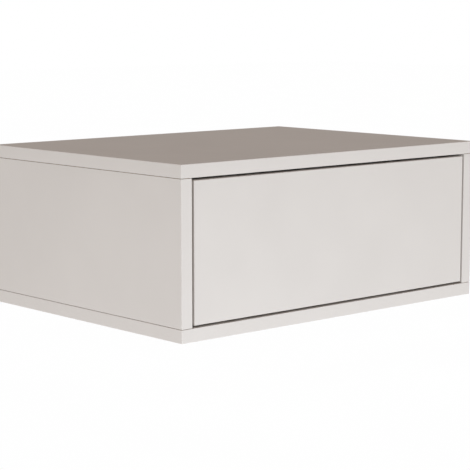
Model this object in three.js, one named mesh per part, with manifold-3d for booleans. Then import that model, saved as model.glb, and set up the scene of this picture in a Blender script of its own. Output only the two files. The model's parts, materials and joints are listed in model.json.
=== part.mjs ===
// A wall-hung bedside cabinet with one handleless drawer that opens at a push. Millimetres, Z up.
// The drawer opens towards -Y and the wall is the plane y = 0. The origin is the middle of the wall
// rail's back face, on the line of its screw slots.

import * as THREE from "three";
import { mergeVertices } from "three/addons/utils/BufferGeometryUtils.js";
import Module from "manifold-3d";

// Cabinet boards
const cabinetWidth = 500;
const cabinetDepth = 370;
const cabinetHeight = 204;
const boardThickness = 16;
const boardJoint = 0.1; // hairline between two boards that are pulled together
const frontReveal = 3; // open line all round the drawer front

// Back panel, and grooves for thin panels
const backThickness = 3;
const backSetIn = 16; // from the wall to the back panel's rear face
const grooveDepth = 6;
const grooveFit = 0.2; // play on each side of a panel in its groove
const cutOverrun = 1; // how far a cutter runs past the face it opens

// Fits of small parts
const snugFit = 0.15; // radial room round a dowel, peg or screw
const runningFit = 0.3; // room round what slides or turns
const seatFit = 0.1; // room under what is screwed down

// Joints between the boards
const frontFixingInset = 45; // from the front edge to the front fixings
const rearFixingInset = 75; // from the wall to the rear fixings
const camRadius = 7.3;
const camFloor = 1.1; // thickness of the cam under the bolt's head
const camReach = 24; // from the side panel's end to the cam's axis
const camSlotDepth = 1.2;
const camSlotWidth = 1.6;
const camSlotLength = 9;
const camBoltRadius = 3;
const camBoltNeckRadius = 2.2;
const camBoltHeadRadius = 3.2;
const camBoltHeadHeight = 2.4;
const camBoltNeckLength = 5;
const camBoltGrip = 11; // length screwed into the top panel
const confirmatRadius = 3.4;
const confirmatHeadRadius = 5;
const confirmatHeadHeight = 4;
const confirmatLength = 48;
const dowelRadius = 4;
const dowelLength = 30;
const dowelDepth = 12; // length of a dowel in the top panel
const dowelChamfer = 1;

// Wall rail
const railGauge = 2;
const railWebHeight = 22;
const railStandOff = 6; // room behind the lip for the hooks
const railLipHeight = 10;
const railEndGap = 3;
const railSlotLength = 14;
const railSlotHeight = 6.5;
const railSlotInset = 40; // from the rail's end to the middle of its outer slot
const railSlotSpacing = 120;

// Hangers, one in each upper rear corner
const hangerWidth = 20;
const hangerDepth = 26;
const hangerHeight = 50;
const hangerWall = 2;
const hangerTopGap = 1;
const hangerPegRadius = 5;
const hangerPegLength = 11;
const hangerPegSpread = 32;
const hangerScrewRadius = 3;
const hangerScrewHeadRadius = 4.6;
const hangerScrewHeadHeight = 2.4;
const hookWidth = 10;
const hookGauge = 4;
const hookTipGauge = 3.5;
const hookTipLength = 7; // how far the tip reaches down behind the rail's lip
const hookWallGap = 1;
const hookFootGap = 3.1; // from the shank's end to the housing's floor
const hookHeadroom = 4.9; // from the hook to the housing's roof
const hookShankSetIn = 8; // from the back panel to the shank
const hookBend = 3; // outer radius of the hook's bends

// Drawer box
const boxBoard = 12;
const boxHeadroom = 31; // from the box to the underside of the top panel
const boxBottomThickness = 3;
const boxBottomRise = 10; // from the box's lower edge to its bottom panel
const pushIn = 3; // travel of a push on the closed drawer
const rearClearance = 3.5; // left behind the pushed-in drawer
const frontScrewRadius = 2;
const frontScrewHeadRadius = 4;
const frontScrewHeadHeight = 2.2;
const frontScrewLength = 24;
const frontScrewSpread = 220;

// Ball-bearing runners, one on each side of the drawer
const runnerThickness = 12.7;
const runnerHeight = 45.6;
const runnerRise = 66; // from the cabinet's floor to the runner's centre line
const runnerEndGap = 1;
const runnerGauge = 1.2;
const runnerLip = 2.6; // turned-in edge of a flange, past its gauge
const outerBallRadius = 2.2;
const innerBallRadius = 1.8;
const ballFit = 0.15; // room between a ball and its track
const ballInset = 0.6; // from the middle member's web to the balls in front of it
const ballsPerRow = 4;
const cageGauge = 0.6;
const cageShare = 0.46; // a ball cage's length, as a share of its runner's
const memberInset = 0.5; // from the drawer front to the drawer member's end
const runnerScrewInset = 37; // from a member's end to its screw
const runnerScrewRadius = 1.75;
const runnerScrewHeadRadius = 3.2;
const runnerScrewHeadHeight = 2.4;
const runnerScrewLength = 12;
const drawerScrewLength = 10;
const leverLength = 46;
const leverHeight = 6;
const leverThickness = 2.4;
const leverNose = 5; // length of the lever's hooked end
const leverNoseDrop = 2;
const leverPinRadius = 2;

// Push latch on the cabinet's floor, behind the drawer front
const latchLength = 76;
const latchWidth = 16;
const latchWall = 1.5;
const latchEndWall = 2.5;
const latchEndGap = 2; // left before the housing when the front is pushed in
const latchRise = 8; // from the cabinet's floor to the plunger's axis
const latchHeadroom = 2.2; // from the housing to the drawer box above it
const latchFootWidth = 34;
const latchFootLength = 24;
const latchFootThickness = 3;
const latchScrewRadius = 1.75;
const latchScrewHeadRadius = 3;
const latchScrewHeadHeight = 1.8;
const latchScrewLength = 12;
const plungerRadius = 4;
const plungerLength = 54;
const plungerPinRadius = 1.5;
const plungerPinLength = 2;
const tipLength = 3.2;
const springRadius = 3.2; // from the axis to the middle of the wire
const springWireRadius = 0.4;
const springTurns = 9;

// Facets
const weldDistance = 1e-3;
const boreSides = 10;
const camSides = 16;
const ballSides = 6;
const ballRings = 4;
const springStepsPerTurn = 8;
const springSides = 5;
const bendSteps = 3;

// Places that several pieces share
const lipTop = railWebHeight / 2 + railStandOff + railLipHeight;
const hookTop = lipTop + seatFit + hookGauge;
const frontPlane = -cabinetDepth;
const topPlane = hookTop + hookHeadroom + hangerWall + hangerTopGap + boardThickness;
const basePlane = topPlane - cabinetHeight;
const insideHalf = cabinetWidth / 2 - boardThickness;
const ceiling = topPlane - boardThickness;
const floor = basePlane + boardThickness;
const sideMiddle = cabinetWidth / 2 - boardThickness / 2;
const backFace = -backSetIn - backThickness; // the back panel's front face
const frontFixing = frontPlane + frontFixingInset;
const rearFixing = -rearFixingInset;
const dowelPlace = (frontFixing + rearFixing) / 2;
const camAxis = ceiling - boardJoint - camReach;
const camHeight = boardThickness / 2 + camBoltHeadRadius + camFloor;
const camBoltWidest = Math.max(camBoltRadius, camBoltHeadRadius);

const frontBack = frontPlane + boardThickness; // the drawer front's rear face, closed
const hangerFront = backFace - seatFit - hangerDepth;
const hangerHeadFront = hangerFront - hangerScrewHeadHeight;
const runnerLength = hangerHeadFront - frontBack - pushIn - rearClearance;
const runnerFront = frontBack + pushIn + runnerEndGap;
const runnerAxis = floor + runnerRise;
const drawerMemberFront = frontBack + memberInset;
const drawerMemberLength = runnerLength - 2 * memberInset;

const latchAxis = floor + latchRise;
const latchBoreRadius = plungerRadius + runningFit;
const latchTop = latchAxis + latchBoreRadius + latchWall;

const boxHalf = insideHalf - runnerThickness - runningFit;
const boxBase = latchTop + latchHeadroom;
const boxTop = ceiling - boxHeadroom;
const boxRear = frontBack + runnerLength;
const boxBottomLow = boxBase + boxBottomRise;
const boxBottomTop = boxBottomLow + boxBottomThickness;

const hangerTop = ceiling - hangerTopGap;
const hangerMiddle = hangerTop - hangerHeight / 2;
const hookFoot = hangerTop - hangerHeight + hangerWall + hookFootGap;
const hookMiddle = insideHalf - seatFit - hangerWidth / 2;
const shankFace = backFace - seatFit - hookShankSetIn;
const hangerScrewLength = hookShankSetIn + hangerDepth / 2;

const latchFront = frontBack + pushIn + latchEndGap;
const latchBoreEnd = latchFront + latchLength - latchEndWall;
const tipFront = frontBack + seatFit;
const plungerFront = tipFront + tipLength + seatFit;
const plungerRear = plungerFront + plungerLength;
const latchFootMiddle = latchFront + latchLength / 2;
const latchScrewPlace = (latchWidth / 2 + latchFootWidth / 2) / 2;

const wasm = await Module();
wasm.setup();

const axisX = new THREE.Vector3(1, 0, 0);
const axisY = new THREE.Vector3(0, 1, 0);
const axisZ = new THREE.Vector3(0, 0, 1);

const materials = {
  board: new THREE.MeshStandardMaterial({ color: 0xd8d1c9, roughness: 0.55, metalness: 0 }),
  panel: new THREE.MeshStandardMaterial({ color: 0xd3cbc1, roughness: 0.7, metalness: 0 }),
  beech: new THREE.MeshStandardMaterial({ color: 0xc9a377, roughness: 0.75, metalness: 0 }),
  steel: new THREE.MeshStandardMaterial({ color: 0xb9bdc0, roughness: 0.35, metalness: 1 }),
  zinc: new THREE.MeshStandardMaterial({ color: 0xa9abac, roughness: 0.5, metalness: 1 }),
  cage: new THREE.MeshStandardMaterial({ color: 0x8f9294, roughness: 0.4, metalness: 1 }),
  housing: new THREE.MeshStandardMaterial({ color: 0xe9e8e4, roughness: 0.5, metalness: 0 }),
  lever: new THREE.MeshStandardMaterial({ color: 0x1e1f20, roughness: 0.5, metalness: 0 }),
  rubber: new THREE.MeshStandardMaterial({ color: 0x6f6d6a, roughness: 0.85, metalness: 0 }),
};

// A closed geometry as a solid that can be cut and joined
function solid(geometry) {
  const bare = geometry.clone();
  bare.deleteAttribute("normal");
  bare.deleteAttribute("uv");
  const merged = mergeVertices(bare, weldDistance);
  const mesh = new wasm.Mesh({
    numProp: 3,
    vertProperties: merged.attributes.position.array,
    triVerts: new Uint32Array(merged.index.array),
  });
  return new wasm.Manifold(mesh);
}

// A cut or joined solid as a geometry whose faces are shaded flat
function geometryOf(made) {
  const mesh = made.getMesh();
  const shared = new THREE.BufferGeometry();
  shared.setAttribute("position", new THREE.BufferAttribute(mesh.vertProperties, mesh.numProp));
  shared.setIndex(new THREE.BufferAttribute(mesh.triVerts, 1));
  const geometry = shared.toNonIndexed();
  geometry.computeVertexNormals();
  return geometry;
}

function cut(geometry, tools) {
  return geometryOf(tools.reduce((body, tool) => body.subtract(solid(tool)), solid(geometry)));
}

function join(geometry, additions) {
  return geometryOf(additions.reduce((body, piece) => body.add(solid(piece)), solid(geometry)));
}

// A box between two places on each axis, given in either order
function block([x0, x1], [y0, y1], [z0, z1]) {
  const box = new THREE.BoxGeometry(Math.abs(x1 - x0), Math.abs(y1 - y0), Math.abs(z1 - z0));
  return box.translate((x0 + x1) / 2, (y0 + y1) / 2, (z0 + z1) / 2);
}

// A rod along one axis, from a start point
function rod(axis, radius, start, length, sides = boreSides) {
  const made = new THREE.CylinderGeometry(radius, radius, length, sides);
  made.translate(0, length / 2, 0);
  made.applyQuaternion(new THREE.Quaternion().setFromUnitVectors(axisY, axis));
  return made.translate(start.x, start.y, start.z);
}

const at = (x, y, z) => new THREE.Vector3(x, y, z);

// A turned piece: its profile runs from the tip at height 0 up the axis, as [radius, height] pairs
function turned(profile, sides = boreSides) {
  return new THREE.LatheGeometry(
    profile.map(([radius, height]) => new THREE.Vector2(radius, height)),
    sides,
  );
}

// A flat outline in (x, z), pushed along +Y from its start
function alongY(shape, start, length) {
  const made = new THREE.ExtrudeGeometry(shape, {
    depth: length,
    bevelEnabled: false,
    curveSegments: bendSteps,
  });
  made.applyMatrix4(new THREE.Matrix4().makeBasis(axisX, axisZ, axisY.clone().negate()));
  return made.translate(0, start + length, 0);
}

// A flat outline in (y, z), pushed along +X from its start
function alongX(shape, start, width) {
  const made = new THREE.ExtrudeGeometry(shape, {
    depth: width,
    bevelEnabled: false,
    curveSegments: bendSteps,
  });
  made.applyMatrix4(new THREE.Matrix4().makeBasis(axisY, axisZ, axisX));
  return made.translate(start, 0, 0);
}

function outline(points) {
  return new THREE.Shape(points.map(([a, b]) => new THREE.Vector2(a, b)));
}

function piece(name, geometry, material, place = at(0, 0, 0), direction = axisY) {
  const mesh = new THREE.Mesh(geometry, material);
  mesh.name = name;
  mesh.position.copy(place);
  mesh.quaternion.setFromUnitVectors(axisY, direction);
  return mesh;
}

function group(...members) {
  const made = new THREE.Group();
  made.add(...members);
  return made;
}

// The two sides of the cabinet, and the two places of a fixing along a board joint
const sides = [
  { name: "left", hand: -1 },
  { name: "right", hand: 1 },
];
const fixings = [
  { name: "front", y: frontFixing },
  { name: "rear", y: rearFixing },
];

// A screw with a countersunk head, its head's face at height 0 and its point below
function countersunkScrew(radius, headRadius, headHeight, length) {
  return turned([
    [0, -length],
    [radius / 2, -length],
    [radius, radius - length],
    [radius, -headHeight],
    [headRadius, 0],
    [0, 0],
  ]);
}

// A screw with a raised head that stands on height 0
function panScrew(radius, headRadius, headHeight, length) {
  return turned([
    [0, -length],
    [radius / 2, -length],
    [radius, radius - length],
    [radius, 0],
    [headRadius, 0],
    [headRadius, headHeight / 2],
    [headRadius - headHeight / 2, headHeight],
    [0, headHeight],
  ]);
}

// The hole that a countersunk screw needs: its cone and its shank, each with room round it
function countersunkBore(radius, headRadius, headHeight, length) {
  return turned([
    [0, -length - snugFit],
    [radius + snugFit, -length - snugFit],
    [radius + snugFit, -headHeight],
    [headRadius + snugFit, 0],
    [headRadius + snugFit, snugFit],
    [0, snugFit],
  ]);
}

// Moves a cutter from its own axis to a place, with its +Y along a direction
function placed(geometry, place, direction) {
  const turn = new THREE.Quaternion().setFromUnitVectors(axisY, direction);
  return geometry.applyQuaternion(turn).translate(place.x, place.y, place.z);
}

const towards = (hand) => axisX.clone().multiplyScalar(hand);
const down = axisZ.clone().negate();
const forward = axisY.clone().negate();

// Cabinet boards: the top and bottom lie over the ends of the sides
function backGroove(zLow, zHigh, half) {
  return block([-half, half], [backFace - grooveFit, grooveFit - backSetIn], [zLow, zHigh]);
}

function topPanel() {
  const bores = sides.flatMap(({ hand }) => [
    ...fixings.map(({ y }) =>
      rod(down, camBoltRadius + snugFit, at(hand * sideMiddle, y, ceiling + camBoltGrip + snugFit),
        camBoltGrip + snugFit + cutOverrun),
    ),
    rod(down, dowelRadius + snugFit, at(hand * sideMiddle, dowelPlace, ceiling + dowelDepth),
      dowelDepth + cutOverrun),
  ]);
  const board = block([-cabinetWidth / 2, cabinetWidth / 2], [frontPlane, 0], [ceiling, topPlane]);
  const groove = backGroove(ceiling - cutOverrun, ceiling + grooveDepth, insideHalf + grooveDepth);
  return cut(board, [groove, ...bores]);
}

function bottomPanel() {
  const bores = sides.flatMap(({ hand }) =>
    fixings.map(({ y }) => placed(confirmatBore(), at(hand * sideMiddle, y, basePlane), down)),
  );
  const screwHoles = sides.map(({ hand }) =>
    rod(down, latchScrewRadius + snugFit, at(hand * latchScrewPlace, latchFootMiddle, floor + cutOverrun),
      latchScrewLength - latchFootThickness + cutOverrun + snugFit),
  );
  const board = block([-cabinetWidth / 2, cabinetWidth / 2], [frontPlane, 0], [basePlane, floor]);
  const groove = backGroove(floor - grooveDepth, floor + cutOverrun, insideHalf + grooveDepth);
  return cut(board, [groove, ...bores, ...screwHoles]);
}

function confirmatBore() {
  return countersunkBore(confirmatRadius, confirmatHeadRadius, confirmatHeadHeight, confirmatLength);
}

function sidePanel(hand) {
  const inner = hand * insideHalf;
  const into = towards(hand);
  const board = block(
    [inner, (hand * cabinetWidth) / 2],
    [frontPlane, 0],
    [floor + boardJoint, ceiling - boardJoint],
  );
  const groove = block(
    [inner - hand * cutOverrun, inner + hand * grooveDepth],
    [backFace - grooveFit, grooveFit - backSetIn],
    [floor, ceiling],
  );
  const cams = fixings.flatMap(({ y }) => [
    rod(into, camRadius + snugFit, at(inner - hand * cutOverrun, y, camAxis),
      camHeight + snugFit + cutOverrun, camSides),
    rod(down, camBoltWidest + snugFit, at(hand * sideMiddle, y, ceiling), camReach),
  ]);
  const dowel = rod(down, dowelRadius + snugFit, at(hand * sideMiddle, dowelPlace, ceiling),
    boardJoint + dowelLength - dowelDepth + 2 * snugFit);
  const confirmats = fixings.map(({ y }) =>
    placed(confirmatBore(), at(hand * sideMiddle, y, basePlane), down),
  );
  const pegs = [1, -1].map((half) =>
    rod(into, hangerPegRadius + snugFit,
      at(inner - hand * cutOverrun, hangerPegPlace(), hangerMiddle + (half * hangerPegSpread) / 2),
      cutOverrun + hangerPegLength + snugFit),
  );
  const runnerScrews = runnerScrewPlaces().map((y) =>
    placed(runnerScrewBore(), at(inner - hand * (runnerGauge + seatFit), y, runnerAxis), towards(-hand)),
  );
  return cut(board, [groove, ...cams, dowel, ...confirmats, ...pegs, ...runnerScrews]);
}

function backPanel() {
  const reach = grooveDepth - 2 * grooveFit;
  const half = insideHalf + reach;
  const panel = block([-half, half], [backFace, -backSetIn], [floor - reach, ceiling + reach]);
  const notches = sides.map(({ hand }) =>
    block(
      [hand * (hookMiddle - hookWidth), hand * (half + cutOverrun)],
      [backFace - cutOverrun, cutOverrun - backSetIn],
      [hookTop - hookGauge - hookWidth, ceiling + grooveDepth],
    ),
  );
  return cut(panel, notches);
}

// Cam fittings hold the top panel from below, so that nothing shows on it
function camLock() {
  const body = rod(axisY, camRadius, at(0, -camHeight, 0), camHeight, camSides);
  const slot = block(
    [-camSlotLength / 2, camSlotLength / 2],
    [-camSlotDepth, cutOverrun],
    [-camSlotWidth / 2, camSlotWidth / 2],
  );
  const crossSlot = block(
    [-camSlotWidth / 2, camSlotWidth / 2],
    [-camSlotDepth, cutOverrun],
    [-camSlotLength / 2, camSlotLength / 2],
  );
  const mouthHalf = camBoltWidest + 2 * snugFit;
  const mouth = block(
    [-mouthHalf, mouthHalf],
    [-boardThickness / 2 - mouthHalf, mouthHalf - boardThickness / 2],
    [-camBoltHeadHeight, camRadius + cutOverrun],
  );
  return cut(body, [slot, crossSlot, mouth]);
}

function camBolt() {
  const headBase = -camReach - boardJoint - camBoltHeadHeight / 2;
  const neckBase = headBase + camBoltHeadHeight;
  return turned([
    [0, headBase],
    [camBoltHeadRadius, headBase],
    [camBoltHeadRadius, neckBase],
    [camBoltNeckRadius, neckBase],
    [camBoltNeckRadius, neckBase + camBoltNeckLength],
    [camBoltRadius, neckBase + camBoltNeckLength + camBoltRadius - camBoltNeckRadius],
    [camBoltRadius, camBoltGrip - camBoltRadius / 2],
    [camBoltRadius / 2, camBoltGrip],
    [0, camBoltGrip],
  ]);
}

function dowelPin() {
  const low = dowelDepth - dowelLength;
  const high = dowelDepth - snugFit;
  return turned([
    [0, low],
    [dowelRadius - dowelChamfer, low],
    [dowelRadius, low + dowelChamfer],
    [dowelRadius, high - dowelChamfer],
    [dowelRadius - dowelChamfer, high],
    [0, high],
  ]);
}

function boardFixings() {
  const made = [];
  for (const { name, hand } of sides) {
    for (const { name: row, y } of fixings) {
      made.push(
        piece(`cam_lock_${name}_${row}`, camLock(), materials.zinc, at(hand * insideHalf, y, camAxis),
          towards(-hand)),
        piece(`cam_bolt_${name}_${row}`, placed(camBolt(), at(0, 0, 0), axisZ), materials.steel,
          at(hand * sideMiddle, y, ceiling)),
        piece(`confirmat_screw_${name}_${row}`,
          countersunkScrew(confirmatRadius, confirmatHeadRadius, confirmatHeadHeight, confirmatLength),
          materials.steel, at(hand * sideMiddle, y, basePlane), down),
      );
    }
    made.push(
      piece(`dowel_${name}`, dowelPin(), materials.beech, at(hand * sideMiddle, dowelPlace, ceiling), axisZ),
    );
  }
  return group(...made);
}

// The rail is screwed to the wall; the hooks reach over its lip from above
function wallRail() {
  const half = insideHalf - railEndGap;
  const webTop = railWebHeight / 2;
  const lipFoot = webTop + railStandOff;
  const section = outline([
    [0, -webTop],
    [0, webTop],
    [-railStandOff, lipFoot],
    [-railStandOff, lipTop],
    [-railStandOff - railGauge, lipTop],
    [-railStandOff - railGauge, lipFoot],
    [-railGauge, webTop],
    [-railGauge, -webTop],
  ]);
  const outer = half - railSlotInset;
  const slots = [-outer, railSlotSpacing - outer, outer - railSlotSpacing, outer].map((x) =>
    block(
      [x - railSlotLength / 2, x + railSlotLength / 2],
      [-railGauge - cutOverrun, cutOverrun],
      [-railSlotHeight / 2, railSlotHeight / 2],
    ),
  );
  return cut(alongX(section, -half, 2 * half), slots);
}

function hangerPegPlace() {
  return backFace - seatFit - hangerDepth / 2;
}

function hangerHousing(hand) {
  const near = hand * (insideHalf - seatFit);
  const far = near - hand * hangerWidth;
  const rear = backFace - seatFit;
  const body = block([near, far], [hangerFront, rear], [hangerTop - hangerHeight, hangerTop]);
  const hollow = block(
    [near - hand * hangerWall, far + hand * hangerWall],
    [hangerFront + hangerWall, rear + cutOverrun],
    [hangerTop - hangerHeight + hangerWall, hangerTop - hangerWall],
  );
  const screwHole = rod(axisY, hangerScrewRadius + snugFit,
    at(hand * hookMiddle, hangerFront - cutOverrun, hangerMiddle), hangerWall + 2 * cutOverrun);
  const pegs = [1, -1].map((half) =>
    rod(towards(hand), hangerPegRadius,
      at(near - (hand * hangerWall) / 2, hangerPegPlace(), hangerMiddle + (half * hangerPegSpread) / 2),
      hangerWall / 2 + seatFit + hangerPegLength),
  );
  return join(cut(body, [hollow, screwHole]), pegs);
}

// The hook's outline in (y, z): shank in the housing, arm through the back panel, tip behind the lip
function hangerHook(hand) {
  const tipFace = -hookWallGap;
  const tipBase = lipTop - hookTipLength;
  const armBase = hookTop - hookGauge;
  const shankFront = shankFace - hookGauge;
  const shape = new THREE.Shape();
  shape.moveTo(tipFace, tipBase);
  shape.lineTo(tipFace, hookTop - hookBend);
  shape.absarc(tipFace - hookBend, hookTop - hookBend, hookBend, 0, Math.PI / 2, false);
  shape.lineTo(shankFront + hookBend, hookTop);
  shape.absarc(shankFront + hookBend, hookTop - hookBend, hookBend, Math.PI / 2, Math.PI, false);
  shape.lineTo(shankFront, hookFoot);
  shape.lineTo(shankFace, hookFoot);
  shape.lineTo(shankFace, armBase);
  shape.lineTo(tipFace - hookTipGauge, armBase);
  shape.lineTo(tipFace - hookTipGauge, tipBase);
  const hook = alongX(shape, hand * hookMiddle - hookWidth / 2, hookWidth);
  const thread = rod(axisY, hangerScrewRadius + snugFit,
    at(hand * hookMiddle, shankFront - cutOverrun, hangerMiddle), hookGauge + 2 * cutOverrun);
  return cut(hook, [thread]);
}

function hangers() {
  const screw = panScrew(hangerScrewRadius, hangerScrewHeadRadius, hangerScrewHeadHeight, hangerScrewLength);
  return group(
    ...sides.flatMap(({ name, hand }) => [
      piece(`${name}_hanger_housing`, hangerHousing(hand), materials.zinc),
      piece(`${name}_hanger_hook`, hangerHook(hand), materials.steel),
      piece(`${name}_hanger_screw`, screw, materials.steel,
        at(hand * hookMiddle, hangerFront - seatFit, hangerMiddle), forward),
    ]),
  );
}

// Runner sections are in (x, z): x runs from the cabinet's side to the drawer's, z from the centre line
const outerTrack = runnerHeight / 2 - runnerGauge;
const outerBallRow = outerTrack - ballFit - outerBallRadius;
const middleHalf = outerBallRow - outerBallRadius - ballFit;
const innerTrack = middleHalf - runnerGauge;
const innerBallRow = innerTrack - ballFit - innerBallRadius;
const drawerHalf = innerBallRow - innerBallRadius - ballFit;
const outerCageFace = seatFit + runnerGauge + runningFit;
const middleFace = outerCageFace + cageGauge + runningFit;
const innerCageFace = middleFace + runnerGauge + runningFit;
const drawerFlangeEnd = innerCageFace + cageGauge + runningFit;
const ballLine = middleFace + runnerGauge + ballInset + innerBallRadius;
const runnerFlange = ballLine + outerBallRadius + runningFit + runnerGauge;

function mirrored(points) {
  return [...points, ...points.map(([x, z]) => [x, -z]).reverse()];
}

// A channel from its web at x = web to its flanges' ends at x = end, each flange with an inward lip
function channel(web, end, half, lip) {
  const inward = Math.sign(end - web);
  return mirrored([
    [web, half],
    [end, half],
    [end, half - runnerGauge - lip],
    [end - inward * runnerGauge, half - runnerGauge - lip],
    [end - inward * runnerGauge, half - runnerGauge],
    [web + inward * runnerGauge, half - runnerGauge],
  ]);
}

function plainChannel(web, end, half) {
  const inward = Math.sign(end - web);
  return mirrored([
    [web, half],
    [end, half],
    [end, half - runnerGauge],
    [web + inward * runnerGauge, half - runnerGauge],
  ]);
}

// A section of one hand, set on the cabinet's inner face
function runnerSection(points, hand) {
  return outline(points.map(([x, z]) => [hand * (insideHalf - x), runnerAxis + z]));
}

function runnerScrewPlaces() {
  return [runnerFront + runnerScrewInset, runnerFront + runnerLength - runnerScrewInset];
}

function drawerScrewPlaces() {
  return [
    drawerMemberFront + runnerScrewInset,
    drawerMemberFront + drawerMemberLength - runnerScrewInset,
  ];
}

function runnerScrewBore() {
  return countersunkBore(runnerScrewRadius, runnerScrewHeadRadius, runnerScrewHeadHeight, runnerScrewLength);
}

function drawerScrewBore() {
  return countersunkBore(runnerScrewRadius, runnerScrewHeadRadius, runnerScrewHeadHeight, drawerScrewLength);
}

function cabinetMember(hand) {
  const section = runnerSection(channel(seatFit, runnerFlange, runnerHeight / 2, runnerLip), hand);
  const bores = runnerScrewPlaces().map((y) =>
    placed(runnerScrewBore(), at(hand * (insideHalf - runnerGauge - seatFit), y, runnerAxis), towards(-hand)),
  );
  return cut(alongY(section, runnerFront, runnerLength), bores);
}

function middleMember(hand) {
  const lip = runnerLip / 2;
  const section = runnerSection(channel(middleFace, runnerFlange, middleHalf, lip), hand);
  return alongY(section, runnerFront, runnerLength);
}

function drawerMember(hand) {
  const section = runnerSection(plainChannel(runnerThickness, drawerFlangeEnd, drawerHalf), hand);
  const bores = drawerScrewPlaces().map((y) =>
    placed(drawerScrewBore(), at(hand * (insideHalf - runnerThickness + runnerGauge), y, runnerAxis),
      towards(hand)),
  );
  const pin = rod(towards(hand), leverPinRadius,
    at(hand * (insideHalf - runnerThickness + runnerGauge / 2), leverPlace(), runnerAxis),
    runnerGauge / 2 + 2 * runningFit + leverThickness);
  return join(cut(alongY(section, drawerMemberFront, drawerMemberLength), bores), [pin]);
}

// A cage is a bent strip that holds a row of balls above and one below
function ballCage(hand, face, row, ballRadius) {
  const end = ballLine + ballRadius;
  const section = runnerSection(
    mirrored([
      [face, row + cageGauge / 2],
      [end, row + cageGauge / 2],
      [end, row - cageGauge / 2],
      [face + cageGauge, row - cageGauge / 2],
    ]),
    hand,
  );
  const length = runnerLength * cageShare;
  const start = runnerFront + (runnerLength - length) / 2;
  const pitch = length / ballsPerRow;
  const balls = [];
  for (let n = 0; n < ballsPerRow; n += 1) {
    for (const half of [1, -1]) {
      const ball = new THREE.SphereGeometry(ballRadius, ballSides, ballRings);
      const place = at(hand * (insideHalf - ballLine), start + pitch * (n + 1 / 2), runnerAxis + half * row);
      balls.push(placed(ball, place, axisY));
    }
  }
  return join(alongY(section, start, length), balls);
}

function leverPlace() {
  return runnerFront + runnerLength / 2;
}

// The release lever is made round its own pin, so that its place is its pivot
function releaseLever(hand) {
  const shape = outline([
    [-leverLength / 2, leverHeight / 2],
    [leverLength / 2 - leverNose, leverHeight / 2],
    [leverLength / 2, leverHeight / 2 - leverNoseDrop],
    [leverLength / 2, -leverHeight / 2],
    [leverLength / 2 - leverNose, -leverHeight / 2 - leverNoseDrop],
    [leverLength / 2 - 2 * leverNose, -leverHeight / 2],
    [-leverLength / 2, -leverHeight / 2],
  ]);
  const plate = alongX(shape, -leverThickness / 2, leverThickness);
  const hole = rod(axisX, leverPinRadius + runningFit, at(-leverThickness, 0, 0), 2 * leverThickness);
  const made = piece(`${hand < 0 ? "left" : "right"}_release_lever`, cut(plate, [hole]), materials.lever);
  const inside = insideHalf - runnerThickness + runnerGauge + runningFit + leverThickness / 2;
  made.position.set(hand * inside, leverPlace(), runnerAxis);
  return made;
}

function runners() {
  const cabinetScrew = countersunkScrew(runnerScrewRadius, runnerScrewHeadRadius, runnerScrewHeadHeight,
    runnerScrewLength);
  const drawerScrew = countersunkScrew(runnerScrewRadius, runnerScrewHeadRadius, runnerScrewHeadHeight,
    drawerScrewLength);
  const made = [];
  for (const { name, hand } of sides) {
    made.push(
      piece(`${name}_runner_cabinet_member`, cabinetMember(hand), materials.steel),
      piece(`${name}_runner_middle_member`, middleMember(hand), materials.steel),
      piece(`${name}_runner_drawer_member`, drawerMember(hand), materials.steel),
      piece(`${name}_outer_ball_cage`, ballCage(hand, outerCageFace, outerBallRow, outerBallRadius),
        materials.cage),
      piece(`${name}_inner_ball_cage`, ballCage(hand, innerCageFace, innerBallRow, innerBallRadius),
        materials.cage),
      releaseLever(hand),
    );
    ["front", "rear"].forEach((row, n) => {
      const cabinetPlace = at(hand * (insideHalf - runnerGauge - seatFit), runnerScrewPlaces()[n],
        runnerAxis);
      const drawerPlace = at(hand * (insideHalf - runnerThickness + runnerGauge), drawerScrewPlaces()[n],
        runnerAxis);
      made.push(
        piece(`runner_cabinet_screw_${name}_${row}`, cabinetScrew, materials.steel, cabinetPlace,
          towards(-hand)),
        piece(`runner_drawer_screw_${name}_${row}`, drawerScrew, materials.steel, drawerPlace, towards(hand)),
      );
    });
  }
  return group(...made);
}

// Drawer: a front that fills the cabinet's opening, screwed to a box that hangs on the runners
function frontScrewBore(hand) {
  return rod(forward, frontScrewRadius + snugFit,
    at((hand * frontScrewSpread) / 2, frontBack + boxBoard + cutOverrun, frontScrewHeight()),
    frontScrewLength + snugFit + cutOverrun);
}

function frontScrewHeight() {
  return (boxBottomTop + boxTop) / 2;
}

function drawerFront() {
  const half = insideHalf - frontReveal;
  const board = block([-half, half], [frontPlane, frontBack], [floor + frontReveal, ceiling - frontReveal]);
  return cut(board, sides.map(({ hand }) => frontScrewBore(hand)));
}

function bottomGroove([x0, x1], [y0, y1]) {
  return block([x0, x1], [y0, y1], [boxBottomLow - grooveFit, boxBottomTop + grooveFit]);
}

function drawerSide(hand) {
  const outer = hand * boxHalf;
  const inner = outer - hand * boxBoard;
  const board = block([outer, inner], [frontBack + seatFit, boxRear], [boxBase, boxTop]);
  const groove = bottomGroove(
    [inner - hand * cutOverrun, inner + (hand * boxBoard) / 2],
    [frontBack, boxRear + cutOverrun],
  );
  const screws = drawerScrewPlaces().map((y) =>
    placed(drawerScrewBore(), at(hand * (insideHalf - runnerThickness + runnerGauge), y, runnerAxis),
      towards(hand)),
  );
  return cut(board, [groove, ...screws]);
}

function drawerInnerFront() {
  const half = boxHalf - boxBoard - boardJoint;
  const rear = frontBack + boxBoard;
  const board = block([-half, half], [frontBack + seatFit, rear], [boxBase, boxTop]);
  const groove = bottomGroove(
    [-half - cutOverrun, half + cutOverrun],
    [rear - boxBoard / 2, rear + cutOverrun],
  );
  return cut(board, [groove, ...sides.map(({ hand }) => frontScrewBore(hand))]);
}

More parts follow.
